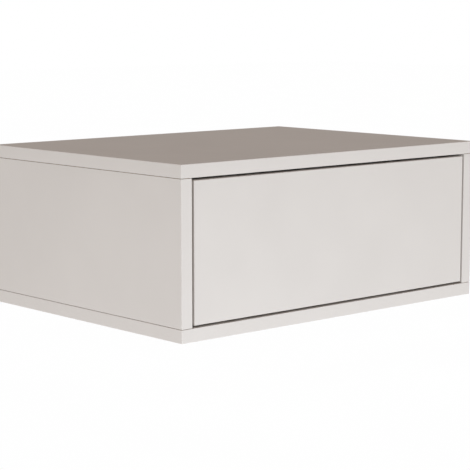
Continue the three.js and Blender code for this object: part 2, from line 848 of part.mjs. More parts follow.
function drawerBack() {
  const half = boxHalf - boxBoard - boardJoint;
  return block([-half, half], [boxRear - boxBoard, boxRear], [boxBottomTop + seatFit, boxTop]);
}

function drawerBottom() {
  const half = boxHalf - boxBoard / 2 - grooveFit;
  return block([-half, half], [frontBack + boxBoard / 2 + grooveFit, boxRear], [boxBottomLow, boxBottomTop]);
}

function drawer() {
  const screw = panScrew(frontScrewRadius, frontScrewHeadRadius, frontScrewHeadHeight, frontScrewLength);
  return group(
    piece("drawer_front", drawerFront(), materials.board),
    piece("drawer_inner_front", drawerInnerFront(), materials.board),
    piece("drawer_left_side", drawerSide(-1), materials.board),
    piece("drawer_right_side", drawerSide(1), materials.board),
    piece("drawer_back", drawerBack(), materials.board),
    piece("drawer_bottom", drawerBottom(), materials.panel),
    ...sides.map(({ name, hand }) =>
      piece(`front_screw_${name}`, screw, materials.steel,
        at((hand * frontScrewSpread) / 2, frontBack + boxBoard + seatFit, frontScrewHeight()), axisY),
    ),
  );
}

// Push latch: a spring behind a plunger that throws the drawer front out when it is pushed
function latchHousing() {
  const low = floor + seatFit;
  const body = block(
    [-latchWidth / 2, latchWidth / 2],
    [latchFront, latchFront + latchLength],
    [low, latchTop],
  );
  const foot = block(
    [-latchFootWidth / 2, latchFootWidth / 2],
    [latchFootMiddle - latchFootLength / 2, latchFootMiddle + latchFootLength / 2],
    [low, low + latchFootThickness],
  );
  const bore = rod(axisY, latchBoreRadius, at(0, latchFront - cutOverrun, latchAxis),
    latchBoreEnd - latchFront + cutOverrun, camSides);
  const screwHoles = sides.map(({ hand }) =>
    rod(axisZ, latchScrewRadius + snugFit, at(hand * latchScrewPlace, latchFootMiddle, low - cutOverrun),
      latchFootThickness + 2 * cutOverrun),
  );
  return cut(join(body, [foot]), [bore, ...screwHoles]);
}

// The plunger's own axis runs from its front face, at height 0, to its rear end
function latchPlunger() {
  return turned(
    [
      [0, -plungerPinLength],
      [plungerPinRadius, -plungerPinLength],
      [plungerPinRadius, 0],
      [plungerRadius, 0],
      [plungerRadius, plungerLength],
      [0, plungerLength],
    ],
    camSides,
  );
}

function latchTip() {
  const socket = plungerPinLength + seatFit;
  return turned(
    [
      [0, 0],
      [plungerRadius - plungerPinRadius / 2, 0],
      [plungerRadius, plungerPinRadius / 2],
      [plungerRadius, tipLength],
      [plungerPinRadius + snugFit, tipLength],
      [plungerPinRadius + snugFit, tipLength - socket],
      [0, tipLength - socket],
    ],
    camSides,
  );
}

class Helix extends THREE.Curve {
  constructor(radius, length, turns) {
    super();
    this.radius = radius;
    this.length = length;
    this.turns = turns;
  }

  getPoint(share, target = new THREE.Vector3()) {
    const angle = 2 * Math.PI * this.turns * share;
    return target.set(this.radius * Math.cos(angle), this.length * share, this.radius * Math.sin(angle));
  }
}

function latchSpring() {
  const room = latchBoreEnd - plungerRear;
  const length = room - 2 * (springWireRadius + runningFit);
  const steps = springTurns * springStepsPerTurn;
  const path = new Helix(springRadius, length, springTurns);
  const corners = Array.from({ length: springSides }, (_, n) => (2 * Math.PI * n) / springSides);
  const wire = outline(corners.map((a) => [springWireRadius * Math.cos(a), springWireRadius * Math.sin(a)]));
  printLeastGap(path, steps);
  return new THREE.ExtrudeGeometry(wire, { steps, extrudePath: path });
}

// The least gap between two turns of the wire, measured on the points of its centre line
function printLeastGap(path, steps) {
  const points = path.getSpacedPoints(steps);
  let least = Infinity;
  for (let a = 0; a < points.length; a += 1) {
    for (let b = a + springStepsPerTurn / 2; b < points.length; b += 1) {
      least = Math.min(least, points[a].distanceTo(points[b]) - 2 * springWireRadius);
    }
  }
  console.log(`latch spring: least gap to itself ${least.toFixed(2)} mm`);
}

function pushLatch() {
  const screw = panScrew(latchScrewRadius, latchScrewHeadRadius, latchScrewHeadHeight, latchScrewLength);
  return group(
    piece("latch_housing", latchHousing(), materials.housing),
    piece("latch_plunger", latchPlunger(), materials.housing, at(0, plungerFront, latchAxis)),
    piece("latch_tip", latchTip(), materials.rubber, at(0, tipFront, latchAxis)),
    piece("latch_spring", latchSpring(), materials.steel,
      at(0, plungerRear + springWireRadius + runningFit, latchAxis)),
    ...sides.map(({ name, hand }) =>
      piece(`latch_screw_${name}`, screw, materials.steel,
        at(hand * latchScrewPlace, latchFootMiddle, floor + latchFootThickness + 2 * seatFit), axisZ),
    ),
  );
}

const nightstand = group(
  group(
    piece("top_panel", topPanel(), materials.board),
    piece("bottom_panel", bottomPanel(), materials.board),
    piece("left_side_panel", sidePanel(-1), materials.board),
    piece("right_side_panel", sidePanel(1), materials.board),
    piece("back_panel", backPanel(), materials.panel),
    boardFixings(),
  ),
  group(piece("wall_rail", wallRail(), materials.steel), hangers()),
  runners(),
  drawer(),
  pushLatch(),
);

export default nightstand;
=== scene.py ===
# %% [markdown]
# A floating nightstand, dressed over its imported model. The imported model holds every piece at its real
# size, in metres, with the wall at y = 0 and the drawer opening towards -Y. It could be drawn as it
# is, but its boards have knife-sharp edges and its fittings have flat facets. So each piece is
# modelled again here, inside the same box, with the edges, bores and finishes of the real thing.

# %% Load the frame
import json
import math

import bmesh
import bpy
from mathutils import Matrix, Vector

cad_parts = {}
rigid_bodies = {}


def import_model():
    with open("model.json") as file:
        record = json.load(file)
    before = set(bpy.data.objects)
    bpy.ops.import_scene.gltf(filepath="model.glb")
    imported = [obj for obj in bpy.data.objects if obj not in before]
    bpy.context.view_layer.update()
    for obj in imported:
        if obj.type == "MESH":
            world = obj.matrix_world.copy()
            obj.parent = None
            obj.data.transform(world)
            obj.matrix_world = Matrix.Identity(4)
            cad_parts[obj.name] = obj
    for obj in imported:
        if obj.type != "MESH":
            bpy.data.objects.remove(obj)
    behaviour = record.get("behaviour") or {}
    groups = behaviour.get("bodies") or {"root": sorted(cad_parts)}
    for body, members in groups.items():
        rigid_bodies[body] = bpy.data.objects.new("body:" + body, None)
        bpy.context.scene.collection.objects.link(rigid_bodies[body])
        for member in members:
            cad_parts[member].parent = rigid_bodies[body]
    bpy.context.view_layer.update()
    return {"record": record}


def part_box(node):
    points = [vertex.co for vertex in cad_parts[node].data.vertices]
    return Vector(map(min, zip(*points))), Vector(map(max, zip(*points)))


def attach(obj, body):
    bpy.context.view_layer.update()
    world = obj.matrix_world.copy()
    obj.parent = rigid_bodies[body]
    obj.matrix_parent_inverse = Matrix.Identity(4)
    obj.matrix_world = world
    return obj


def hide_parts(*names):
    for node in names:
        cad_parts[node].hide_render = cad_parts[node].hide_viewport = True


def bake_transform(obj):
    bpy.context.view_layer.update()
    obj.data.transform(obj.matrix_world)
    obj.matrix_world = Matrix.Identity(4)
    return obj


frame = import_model()
mm = 0.001

# %% [markdown]
# The camera comes first. A photograph of a box gives its camera away: the corners and joint lines fit
# one place, one direction and one lens. Those were worked out with the lens centred, since a shifted
# lens would push the cabinet out of the frame when it is seen from another side.

# %% Set the camera at the photograph's angle
photo_width_pixels = 470
sensor_width_mm = 36.0
focal_length_pixels = 1627.7
camera_place = Vector((-1.4099, -1.7543, 0.2243))
camera_turn = math.radians(41.863)
camera_tilt = math.radians(7.835)

bpy.ops.object.select_all(action="DESELECT")
bpy.ops.object.camera_add(
    location=camera_place,
    rotation=(math.pi / 2 - camera_tilt, 0, -camera_turn),
)
camera = bpy.context.object
camera.name = "photo_camera"
camera.data.sensor_width = sensor_width_mm
camera.data.lens = focal_length_pixels / photo_width_pixels * sensor_width_mm
bpy.context.scene.camera = camera
bpy.context.scene.view_settings.view_transform = "Standard"
print(f"lens {camera.data.lens:.1f} mm")

# %% [markdown]
# Every material is a small tree of nodes. One helper turns a colour as it is read off a screen, an sRGB
# hex value, into the linear light that the shader works in. One adds any node with its settings and
# links. One starts a material, with the values that are the same all over set on the shader itself.

# %% Helpers for materials


def linear(hex_colour):
    """An sRGB hex colour as linear red, green, blue and alpha."""
    shares = [int(hex_colour[n : n + 2], 16) / 255 for n in (1, 3, 5)]
    light = [s / 12.92 if s <= 0.04045 else ((s + 0.055) / 1.055) ** 2.4 for s in shares]
    return (*light, 1.0)


def add_node(tree, kind, sockets=None, **settings):
    """Adds a node with its settings. A socket takes a value, or another node's output as a link."""
    node = tree.nodes.new(kind)
    for name, value in settings.items():
        setattr(node, name, value)
    for name, value in (sockets or {}).items():
        if isinstance(value, bpy.types.NodeSocket):
            tree.links.new(value, node.inputs[name])
        else:
            node.inputs[name].default_value = value
    return node


def start_material(name, constants):
    """A material with its node tree, its shader, and the place that its patterns are read from."""
    material = bpy.data.materials.new(name)
    material.use_nodes = True
    tree = material.node_tree
    tree.nodes.clear()
    shader = add_node(tree, "ShaderNodeBsdfPrincipled", constants)
    add_node(tree, "ShaderNodeOutputMaterial", {"Surface": shader.outputs["BSDF"]})
    place = add_node(tree, "ShaderNodeTexCoord").outputs["Object"]
    return material, tree, shader, place


def per_metre(size_mm):
    """A pattern's scale along x, y and z, from the real size of one of its features."""
    sizes = size_mm if isinstance(size_mm, tuple) else (size_mm,) * 3
    return [1000 / size for size in sizes]


print("cashmere in linear light:", [round(share, 3) for share in linear("#d7d0c9")])

# %% [markdown]
# Nearly every finish here is built up in the same way: a colour that drifts a little over some
# centimetres, and a much finer grain that breaks up the gloss and stands out in a shallow relief. Each
# could be painted or photographed, but noise needs no picture and fits round every edge. So one
# function builds a whole finish from the real sizes of its drift and its grain. A size that differs
# along x, y and z stretches the grain into rolling or brush lines.

# %% A finish from its drift and its grain
drift_detail = 2.0
grain_detail = 3.0
noise_low, noise_high = 0.3, 0.7


def grained(name, constants, drift_mm, colours, grain_mm, roughness, relief_mm):
    """A finish whose drift runs through its colours, and whose grain is in its gloss and relief."""
    material, tree, shader, place = start_material(name, constants)
    patterns = []
    for size_mm, detail in ((drift_mm, drift_detail), (grain_mm, grain_detail)):
        scale = {"Vector": place, "Scale": per_metre(size_mm)}
        scaled = add_node(tree, "ShaderNodeMapping", scale).outputs["Vector"]
        noise = {"Vector": scaled, "Scale": 1.0, "Detail": detail}
        patterns.append(add_node(tree, "ShaderNodeTexNoise", noise).outputs["Fac"])
    drift, grain = patterns

    run = add_node(tree, "ShaderNodeValToRGB", {"Fac": drift})
    while len(run.color_ramp.elements) < len(colours):
        run.color_ramp.elements.new(1.0)
    # Noise rarely leaves the range between these two, so the colours are spread over that.
    for n, (element, colour) in enumerate(zip(run.color_ramp.elements, colours)):
        element.position = noise_low + (noise_high - noise_low) * n / (len(colours) - 1)
        element.color = linear(colour)
    tree.links.new(run.outputs["Color"], shader.inputs["Base Color"])

    spread = {"Value": grain, "From Min": noise_low, "From Max": noise_high}
    spread |= {"To Min": roughness[0], "To Max": roughness[1]}
    gloss = add_node(tree, "ShaderNodeMapRange", spread)
    tree.links.new(gloss.outputs["Result"], shader.inputs["Roughness"])
    relief = add_node(tree, "ShaderNodeBump", {"Height": grain, "Distance": relief_mm * mm})
    tree.links.new(relief.outputs["Normal"], shader.inputs["Normal"])
    return material


print("a 90 mm drift repeats", round(per_metre(90)[0], 1), "times in a metre")

# %% [markdown]
# The boards are melamine-faced chipboard: printed paper soaked in resin and pressed on against an
# etched plate. The plate leaves a fine pearl that breaks up reflections, so the face looks matt and
# even. A plain diffuse colour would look like card, so the shader keeps a soft broad gloss, and the
# pearl is a very shallow relief. The edges carry ABS edging, and where no edging shows, the saw leaves
# raw chipboard. Its flakes have outlines, so they are cells and not noise.

# %% Melamine face, edging and raw chipboard
# Pressed melamine in a warm light grey: even and matt, with a pearl that is only just seen. The real
# pearl is about 0.5 mm wide and is drawn at 1.5 mm, so that it shows.
melamine = grained(
    "pressed_melamine",
    {"IOR": 1.5},
    drift_mm=90,
    colours=["#d5cfc9", "#d8d2cc"],
    grain_mm=1.5,
    roughness=(0.46, 0.56),
    relief_mm=0.015,
)
# Extruded ABS edging in the board's colour: a little smoother, with faint ripples from its scraper.
edging = grained(
    "extruded_abs_edging",
    {"IOR": 1.53},
    drift_mm=60,
    colours=["#d6d0ca", "#d8d2cc"],
    grain_mm=2.0,
    roughness=(0.40, 0.48),
    relief_mm=0.012,
)


fibre_detail = 4.0


def sawn_chipboard(flake_mm, colours, middle_shades, fibre_mm, roughness, relief_mm):
    """Sawn chipboard: pressed wood flakes, each in a shade of its own, rough and without gloss."""
    material, tree, shader, place = start_material("sawn_chipboard", {"IOR": 1.45})
    cells = {"Vector": place, "Scale": per_metre(flake_mm)[0]}
    flakes = add_node(tree, "ShaderNodeTexVoronoi", cells).outputs["Color"]
    shade = add_node(tree, "ShaderNodeSeparateColor", {"Color": flakes}).outputs["Red"]
    run = add_node(tree, "ShaderNodeValToRGB", {"Fac": shade})
    for position in middle_shades:
        run.color_ramp.elements.new(position)
    for element, colour in zip(run.color_ramp.elements, colours):
        element.color = linear(colour)
    tree.links.new(run.outputs["Color"], shader.inputs["Base Color"])

    fibres = {"Vector": place, "Scale": per_metre(fibre_mm)[0], "Detail": fibre_detail}
    fibre = add_node(tree, "ShaderNodeTexNoise", fibres).outputs["Fac"]
    spread = {"Value": fibre, "To Min": roughness[0], "To Max": roughness[1]}
    gloss = add_node(tree, "ShaderNodeMapRange", spread)
    tree.links.new(gloss.outputs["Result"], shader.inputs["Roughness"])
    relief = add_node(tree, "ShaderNodeBump", {"Height": fibre, "Distance": relief_mm * mm})
    tree.links.new(relief.outputs["Normal"], shader.inputs["Normal"])
    return material


# Flakes two or three millimetres wide, with a fibre under a millimetre that roughens them.
chipboard = sawn_chipboard(
    flake_mm=2.4,
    colours=["#957551", "#b3946b", "#c8ad85", "#d9c49f"],
    middle_shades=(0.35, 0.7),
    fibre_mm=0.8,
    roughness=(0.7, 1.0),
    relief_mm=0.25,
)
print("board finishes:", melamine.name, edging.name, chipboard.name)

# %% [markdown]
# The back panel and the drawer's bottom are hardboard, three millimetres thick. One side is rolled
# with lacquer in the boards' colour, which flows out to a faint orange peel, and the other side is
# bare brown fibre. The dowels are beech, whose short dark flecks run along the grain.

# %% Hardboard and beech
# Rolled lacquer: close to the melamine, slightly glossier, with a faint orange peel.
lacquer = grained(
    "rolled_lacquer",
    {"IOR": 1.5},
    drift_mm=70,
    colours=["#cfc9c2", "#d3cdc6"],
    grain_mm=2.5,
    roughness=(0.36, 0.46),
    relief_mm=0.025,
)
# Pressed hardboard: a brown felt of fibre bundles a few millimetres long, finer than chipboard and
# quite matt. Its single fibres of 0.2 mm are drawn at 0.9 mm, so that they show.
hardboard = grained(
    "pressed_hardboard",
    {"IOR": 1.45},
    drift_mm=4,
    colours=["#84654a", "#93735a", "#a07f60"],
    grain_mm=0.9,
    roughness=(0.75, 0.90),
    relief_mm=0.12,
)
# Turned beech: pinkish tan, with flecks three millimetres long that run along the dowel.
beech = grained(
    "turned_beech",
    {"IOR": 1.45},
    drift_mm=(0.5, 0.5, 3.5),
    colours=["#b58a62", "#cba67e", "#d9b991"],
    grain_mm=(0.4, 0.4, 3.0),
    roughness=(0.60, 0.75),
    relief_mm=0.1,
)
print("panel finishes:", lacquer.name, hardboard.name, beech.name)

# %% [markdown]
# The hardware has five metal finishes. Runners, rail, hooks and screws are steel with a bright zinc
# plating, whose blue and straw tints drift over a few centimetres. Cams and hanger housings are cast
# in zinc, with a duller skin. The ball cages are rolled strip, brushed along its length, the balls are
# ground and polished, and the spring is drawn wire. A metal shows what is around it, so these differ
# most in their roughness.

# %% Metals
# Bright zinc plating on rolled steel: clear reflections, softened by lines along the rolling. Lines
# of 0.1 mm are drawn at 0.6 mm, so that they show. The runners lie along y and the rail along x.
plating, rail_plating = (
    grained(
        name,
        {"Metallic": 1.0},
        drift_mm=35,
        colours=["#c1c7cd", "#cccdcd", "#d1cdc2"],
        grain_mm=line_mm,
        roughness=(0.24, 0.36),
        relief_mm=0.01,
    )
    for name, line_mm in {
        "zinc_plated_steel": (0.6, 30, 0.6),
        "zinc_plated_rail_steel": (30, 0.6, 0.6),
    }.items()
)
# Die-cast zinc: grey and satin, with the slightly uneven skin that the mould leaves.
zinc = grained(
    "die_cast_zinc",
    {"Metallic": 1.0},
    drift_mm=9,
    colours=["#a0a3a6", "#b4b6b7"],
    grain_mm=1.2,
    roughness=(0.40, 0.56),
    relief_mm=0.03,
)
# Rolled cage strip: darker than the plating, with brush lines 0.3 mm wide along the runner.
cage_strip = grained(
    "brushed_steel_strip",
    {"Metallic": 1.0},
    drift_mm=(4, 40, 4),
    colours=["#9b9da0", "#adafb1"],
    grain_mm=(0.3, 20, 0.3),
    roughness=(0.30, 0.42),
    relief_mm=0.01,
)
# Polished bearing balls: almost mirrors, with a thin film of grease in patches.
polished = grained(
    "polished_bearing_steel",
    {"Metallic": 1.0},
    drift_mm=1.6,
    colours=["#d2d4d6", "#c4c2b6"],
    grain_mm=1.6,
    roughness=(0.05, 0.16),
    relief_mm=0.0015,
)
# Oiled spring wire: drawn through a die, and a darker grey than the plating.
spring_wire = grained(
    "drawn_spring_wire",
    {"Metallic": 1.0},
    drift_mm=1.5,
    colours=["#85878a", "#9b9c9b"],
    grain_mm=1.0,
    roughness=(0.20, 0.34),
    relief_mm=0.004,
)
metals = (plating, rail_plating, zinc, cage_strip, polished, spring_wire)
print("metals:", ", ".join(metal.name for metal in metals))

# %% [markdown]
# The small moulded parts are POM, a slippery plastic: white for the push latch and black for the
# release levers. Its mould is spark-eroded, which prints a fine grain on the surface. The latch's tip
# is soft grey rubber, so that it doesn't knock on the drawer front.

# %% Moulded plastics and rubber
# Moulded POM: soft highlights, broken up by a fine grain. The mould's grain of 0.1 mm is drawn at
# 0.7 mm, so that it shows.
white_pom, black_pom = (
    grained(
        name,
        {"IOR": 1.48},
        drift_mm=12,
        colours=colours,
        grain_mm=0.7,
        roughness=(0.38, 0.52),
        relief_mm=0.024,
    )
    for name, colours in {
        "moulded_white_pom": ["#e3e2dd", "#ebeae6"],
        "moulded_black_pom": ["#191a1b", "#242527"],
    }.items()
)
# Moulded rubber: dark grey, nearly without gloss, with a bloom of dust in patches.
rubber = grained(
    "moulded_grey_rubber",
    {"IOR": 1.52},
    drift_mm=1.8,
    colours=["#6a6764", "#75726e"],
    grain_mm=1.2,
    roughness=(0.72, 0.88),
    relief_mm=0.05,
)
print("moulded:", white_pom.name, black_pom.name, rubber.name)

# %% [markdown]
# Modelling follows the same few steps every time: add a primitive at its size, select faces or edges
# by where they are, shape them, and cut what has to be cut. The helpers below hold those steps, so
# that each piece reads as a list of what its maker does. The first ones select. A piece's place is
# kept in its mesh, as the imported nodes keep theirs, so its object always sits at the origin.

# %% Helpers for selecting
X, Y, Z = 0, 1, 2
ways = x_way, y_way, z_way = Vector((1, 0, 0)), Vector((0, 1, 0)), Vector((0, 0, 1))
same_place = 0.01 * mm
sharp_angle = 1.05
along_share = 0.999
facing_share = 0.99


def clear_selection():
    """Nothing is selected."""
    bpy.ops.object.select_all(action="DESELECT")


def take(piece):
    """Selects one piece alone, ready for an operator."""
    clear_selection()
    piece.select_set(True)
    bpy.context.view_layer.objects.active = piece


def keep_place():
    """Puts the selected object's place, turn and size into its mesh."""
    bpy.ops.object.transform_apply(location=True, rotation=True, scale=True)
    return bpy.context.object


def open_with(piece, kind, wanted):
    """Opens a piece for editing with only the wanted faces or edges selected."""
    take(piece)
    bpy.ops.object.mode_set(mode="EDIT")
    bpy.ops.mesh.select_mode(type=kind)
    bpy.ops.mesh.select_all(action="DESELECT")
    mesh = bmesh.from_edit_mesh(piece.data)
    for element in mesh.faces if kind == "FACE" else mesh.edges:
        element.select_set(wanted(element))
    bmesh.update_edit_mesh(piece.data)


def close():
    """Back out of edit mode."""
    bpy.ops.object.mode_set(mode="OBJECT")


def near(a, b):
    """Whether two places on one axis are the same, within a hundredth of a millimetre."""
    return abs(a - b) < same_place


def runs_along(edge, axis):
    """Whether an edge is parallel to an axis."""
    way = edge.verts[1].co - edge.verts[0].co
    return abs(way[axis]) > along_share * way.length


def faces(face, way):
    """Whether a face looks along a direction."""
    return face.normal.dot(way) > facing_share


def is_sharp(edge):
    """Whether an edge turns by more than about 60 degrees."""
    return len(edge.link_faces) == 2 and edge.calc_face_angle() > sharp_angle


print(f"an edge is sharp from {math.degrees(sharp_angle):.0f} degrees")

# %% [markdown]
# No edge of a real piece is perfectly sharp, so nearly every piece here gets a small radius. Modifiers
# are applied at once, so that the next step sees the real faces. Spinning, mirroring and filling can
# leave doubled points and faces that look inwards, so one helper cleans up after them.

# %% Helpers for shaping
merge_reach = 0.001 * mm
radius_steps = 3


def soften(piece, radius, wanted, steps=radius_steps):
    """Rounds the wanted edges."""
    open_with(piece, "EDGE", wanted)
    bpy.ops.mesh.bevel(offset=radius, segments=steps, affect="EDGES")
    close()


def apply_modifier(piece, kind, **settings):
    """Adds a modifier with its settings, and applies it."""
    take(piece)
    modifier = piece.modifiers.new(kind.lower(), kind)
    for name, value in settings.items():
        setattr(modifier, name, value)
    bpy.ops.object.modifier_apply(modifier=modifier.name)


def face_outwards(piece):
    """Merges doubled points, then turns every face outwards."""
    open_with(piece, "FACE", lambda face: True)
    bpy.ops.mesh.remove_doubles(threshold=merge_reach)
    bpy.ops.mesh.normals_make_consistent(inside=False)
    close()


print(f"a radius is drawn in {radius_steps} steps")

# %% [markdown]
# Most pieces start as a block or a rod. A primitive can be added at the origin and moved later, but
# it is added here at its real size and place, so that the numbers read as they are on the drawing.

# %% Blocks and rods
rod_sides = 40


def add_block(low, high):
    """A block between two corners."""
    clear_selection()
    low, high = Vector(low), Vector(high)
    bpy.ops.mesh.primitive_cube_add(size=1, location=(low + high) / 2)
    bpy.context.object.scale = high - low
    return keep_place()


def add_rod(start, way, radius, length, sides=rod_sides):
    """A rod from a start point along a direction."""
    clear_selection()
    way = Vector(way).normalized()
    bpy.ops.mesh.primitive_cylinder_add(
        vertices=sides,
        radius=radius,
        depth=length,
        location=Vector(start) + way * length / 2,
        rotation=way.to_track_quat("Z", "Y").to_euler(),
    )
    return keep_place()


print(f"a rod has {rod_sides} sides")

# %% [markdown]
# Other pieces start as a line that is drawn out point by point. It is spun round an axis, as on a
# lathe, or closed and pushed out to a plate, or pushed out to a strip of sheet metal. The strip is
# folded first as if it had no thickness, its bends are rounded, and only then does it get its gauge,
# which keeps the metal equally thick round the bends.

# %% Turned pieces, plates and folded strip
turned_sides = 32
fine_sides = 48
bend_steps = 5


def draw_line(points):
    """One point drawn out to the next, over and over. The line is left open for editing."""
    clear_selection()
    bpy.ops.mesh.primitive_plane_add(size=mm)
    bpy.ops.object.mode_set(mode="EDIT")
    bpy.ops.mesh.select_mode(type="VERT")
    bpy.ops.mesh.select_all(action="SELECT")
    bpy.ops.mesh.merge(type="CENTER")
    bpy.ops.transform.translate(value=points[0])
    for start, end in zip(points, points[1:]):
        step = Vector(end) - Vector(start)
        bpy.ops.mesh.extrude_vertices_move(TRANSFORM_OT_translate={"value": step})
    bpy.ops.mesh.select_all(action="SELECT")


def add_turned(profile, sides=turned_sides):
    """A turned piece round the z axis, from a profile of radius and height."""
    draw_line([(radius, 0, height) for radius, height in profile])
    bpy.ops.mesh.spin(steps=sides, angle=2 * math.pi, center=(0, 0, 0), axis=(0, 0, 1))
    close()
    piece = bpy.context.object
    face_outwards(piece)
    return piece


def add_plate(points, push):
    """A flat outline, filled and pushed out to a plate."""
    draw_line(points)
    bpy.ops.mesh.edge_face_add()
    bpy.ops.mesh.extrude_region_move(TRANSFORM_OT_translate={"value": push})
    close()
    piece = bpy.context.object
    face_outwards(piece)
    return piece


def add_strip(points, push, gauge, bend, inside):
    """Sheet metal folded along a line of points. Its thickness grows towards the point inside."""
    draw_line(points)
    bpy.ops.mesh.extrude_edges_move(TRANSFORM_OT_translate={"value": push})
    bpy.ops.mesh.select_all(action="SELECT")
    bpy.ops.mesh.normals_make_consistent(inside=False)
    close()
    strip = bpy.context.object
    widest = max(strip.data.polygons, key=lambda face: face.area)
    if (widest.center - Vector(inside)).dot(widest.normal) < 0:
        open_with(strip, "FACE", lambda face: True)
        bpy.ops.mesh.flip_normals()
        close()
    soften(strip, bend, lambda edge: len(edge.link_faces) == 2, bend_steps)
    apply_modifier(strip, "SOLIDIFY", thickness=gauge, offset=-1, use_even_offset=True)
    face_outwards(strip)
    return strip


print(f"a turned piece has {turned_sides} or {fine_sides} sides")

# %% [markdown]
# A piece has one finish all over, or another one on the faces that point a certain way. It is cut and
# joined with other shapes, and a cut takes the cutter's finish, so that a bore through a faced board
# shows chipboard. The exact solver is slower than the fast one, but leaves closed meshes.

# %% Helpers for finishes, cuts and welds
def paint(piece, material):
    """One finish all over."""
    piece.data.materials.clear()
    piece.data.materials.append(material)
    return piece


def paint_faces(piece, material, wanted):
    """Another finish on the wanted faces."""
    piece.data.materials.append(material)
    slot = len(piece.data.materials) - 1
    for face in piece.data.polygons:
        if wanted(face):
            face.material_index = slot


def combine(piece, others, operation):
    """Cuts or joins other shapes. What they leave keeps their own finish."""
    for other in others:
        settings = {"object": other, "operation": operation, "material_mode": "TRANSFER"}
        apply_modifier(piece, "BOOLEAN", solver="EXACT", **settings)
        bpy.data.objects.remove(other)
    return piece


def carve(piece, *cutters):
    """Cuts shapes out of a piece."""
    return combine(piece, cutters, "DIFFERENCE")


def weld(piece, *additions):
    """Joins shapes to a piece, so that they become one skin."""
    return combine(piece, additions, "UNION")


print("finishes so far:", len(bpy.data.materials))

# %% [markdown]
# What repeats is modelled once, at the origin with its axis upright, and then copied to its places.
# Each copy has a mesh of its own, because its place is kept in the mesh. A piece that comes in a left
# and a right hand is mirrored.

# %% Helpers for copies


def copy_to(model, place, way):
    """A copy of a piece that was made at the origin, set at a place with its z axis along a way."""
    take(model)
    bpy.ops.object.duplicate(linked=False)
    twin = bpy.context.object
    twin.location = place
    twin.rotation_euler = Vector(way).to_track_quat("Z", "Y").to_euler()
    return keep_place()


def mirror_copy(piece):
    """A copy on the other side of the cabinet."""
    take(piece)
    bpy.ops.object.duplicate(linked=False)
    bpy.context.object.scale.x = -1
    twin = keep_place()
    face_outwards(twin)
    return twin


def drop(*pieces):
    """Removes pieces that were only patterns for copies."""
    for piece in pieces:
        bpy.data.objects.remove(piece)


# %% [markdown]
# A finished piece gets smooth shading over its rounded edges, with its flat faces kept flat. Then it
# takes its imported node's place, and rides on the body that the node rides on. The spring is the
# exception: its place is kept in its mesh, and it rides on no body.

# %% Helpers for handing over
smooth_below = math.radians(40)
flat_face_weight = 80
body_of = {
    node: body for body, nodes in frame["record"]["behaviour"]["bodies"].items() for node in nodes
}


def hand_over(piece, node, stretches_to=None):
    """Smooth shading over rounded edges, flat faces kept flat, and the piece stands for its node."""
    take(piece)
    bpy.ops.object.shade_smooth_by_angle(angle=smooth_below)
    apply_modifier(piece, "WEIGHTED_NORMAL", keep_sharp=True, weight=flat_face_weight)
    piece.name = f"finished_{node}"
    piece.data.name = piece.name
    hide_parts(node)
    if stretches_to:
        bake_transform(piece)
    else:
        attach(piece, body_of[node])
    return piece


def both_hands(piece, node):
    """The right piece and its mirror image each take their node's place."""
    hand_over(mirror_copy(piece), f"left_{node}")
    hand_over(piece, f"right_{node}")


def middle(node):
    """The middle of a node's box."""
    low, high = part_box(node)
    return (low + high) / 2


print("bodies:", ", ".join(sorted(set(body_of.values()))))

# %% [markdown]
# A board starts as a block. Its edging is glued on and its corners are then rounded by a machine, by
# less than a millimetre, and the edges inside a joint are only broken a little. Those radii differ,
# so each edge gets a bevel weight and one modifier rounds them all, which keeps the corners clean
# where two radii meet. A rounded edge catches the light in a thin line. Where a sawn end meets
# another board, the end touches in its middle and its rim stands back by less than half a
# millimetre, so that the joint shows as a fine dark line.

# %% Board radii and the board helper
band_radius = 0.8 * mm
joint_radius = 0.2 * mm
joint_rim = 0.4 * mm
rim_width = 2 * mm
sawn_radius = 0.15 * mm
cut_room = 0.15 * mm
overrun = 1 * mm


def round_edges(piece, radius, exceptions):
    """Rounds every edge of a block. Edges in the planes named in exceptions get their own radius."""
    mesh = piece.data
    radii = []
    for edge in mesh.edges:
        start, end = (mesh.vertices[n].co for n in edge.vertices)
        centre = (start + end) / 2
        own = [r for (axis, place), r in exceptions.items() if near(centre[axis], place)]
        radii.append(own[0] if own else radius)
    weights = mesh.attributes.new("bevel_weight_edge", "FLOAT", "EDGE")
    weights.data.foreach_set("value", [r / max(radii) for r in radii])
    apply_modifier(piece, "BEVEL", limit_method="WEIGHT", width=max(radii), segments=radius_steps)


def add_board(node, radius, exceptions, raw, set_back=0):
    """A faced board in a node's box: rounded, and finished by the way that each face points."""
    low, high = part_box(node)
    board = add_block(low + set_back * z_way, high - set_back * z_way)
    round_edges(board, radius, exceptions)
    size = high - low
    across = min((X, Y, Z), key=lambda axis: size[axis])
    paint(board, edging)
    paint_faces(board, melamine, lambda face: abs(face.normal[across]) > facing_share)
    paint_faces(board, chipboard, lambda face: any(faces(face, way) for way in raw))
    return board


def push_out_end(board, way):
    """Pushes the middle of one end out to the board's length, and leaves its rim behind."""
    open_with(board, "FACE", lambda face: faces(face, way))
    bpy.ops.mesh.inset(thickness=rim_width)
    bpy.ops.mesh.extrude_region_move(TRANSFORM_OT_translate={"value": joint_rim * way})
    close()


def bore_for(node, axis):
    """A cutter for the round hole that a node sits in, along one axis."""
    low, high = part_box(node)
    size = high - low
    across = max(size[n] for n in (X, Y, Z) if n != axis)
    start = (low + high) / 2 - ways[axis] * (size[axis] / 2 + overrun)
    return paint(add_rod(start, ways[axis], across / 2 + cut_room, size[axis] + 2 * overrun), chipboard)


def raw_block(low, high):
    """A cutter for a groove or notch."""
    return paint(add_block(low, high), chipboard)


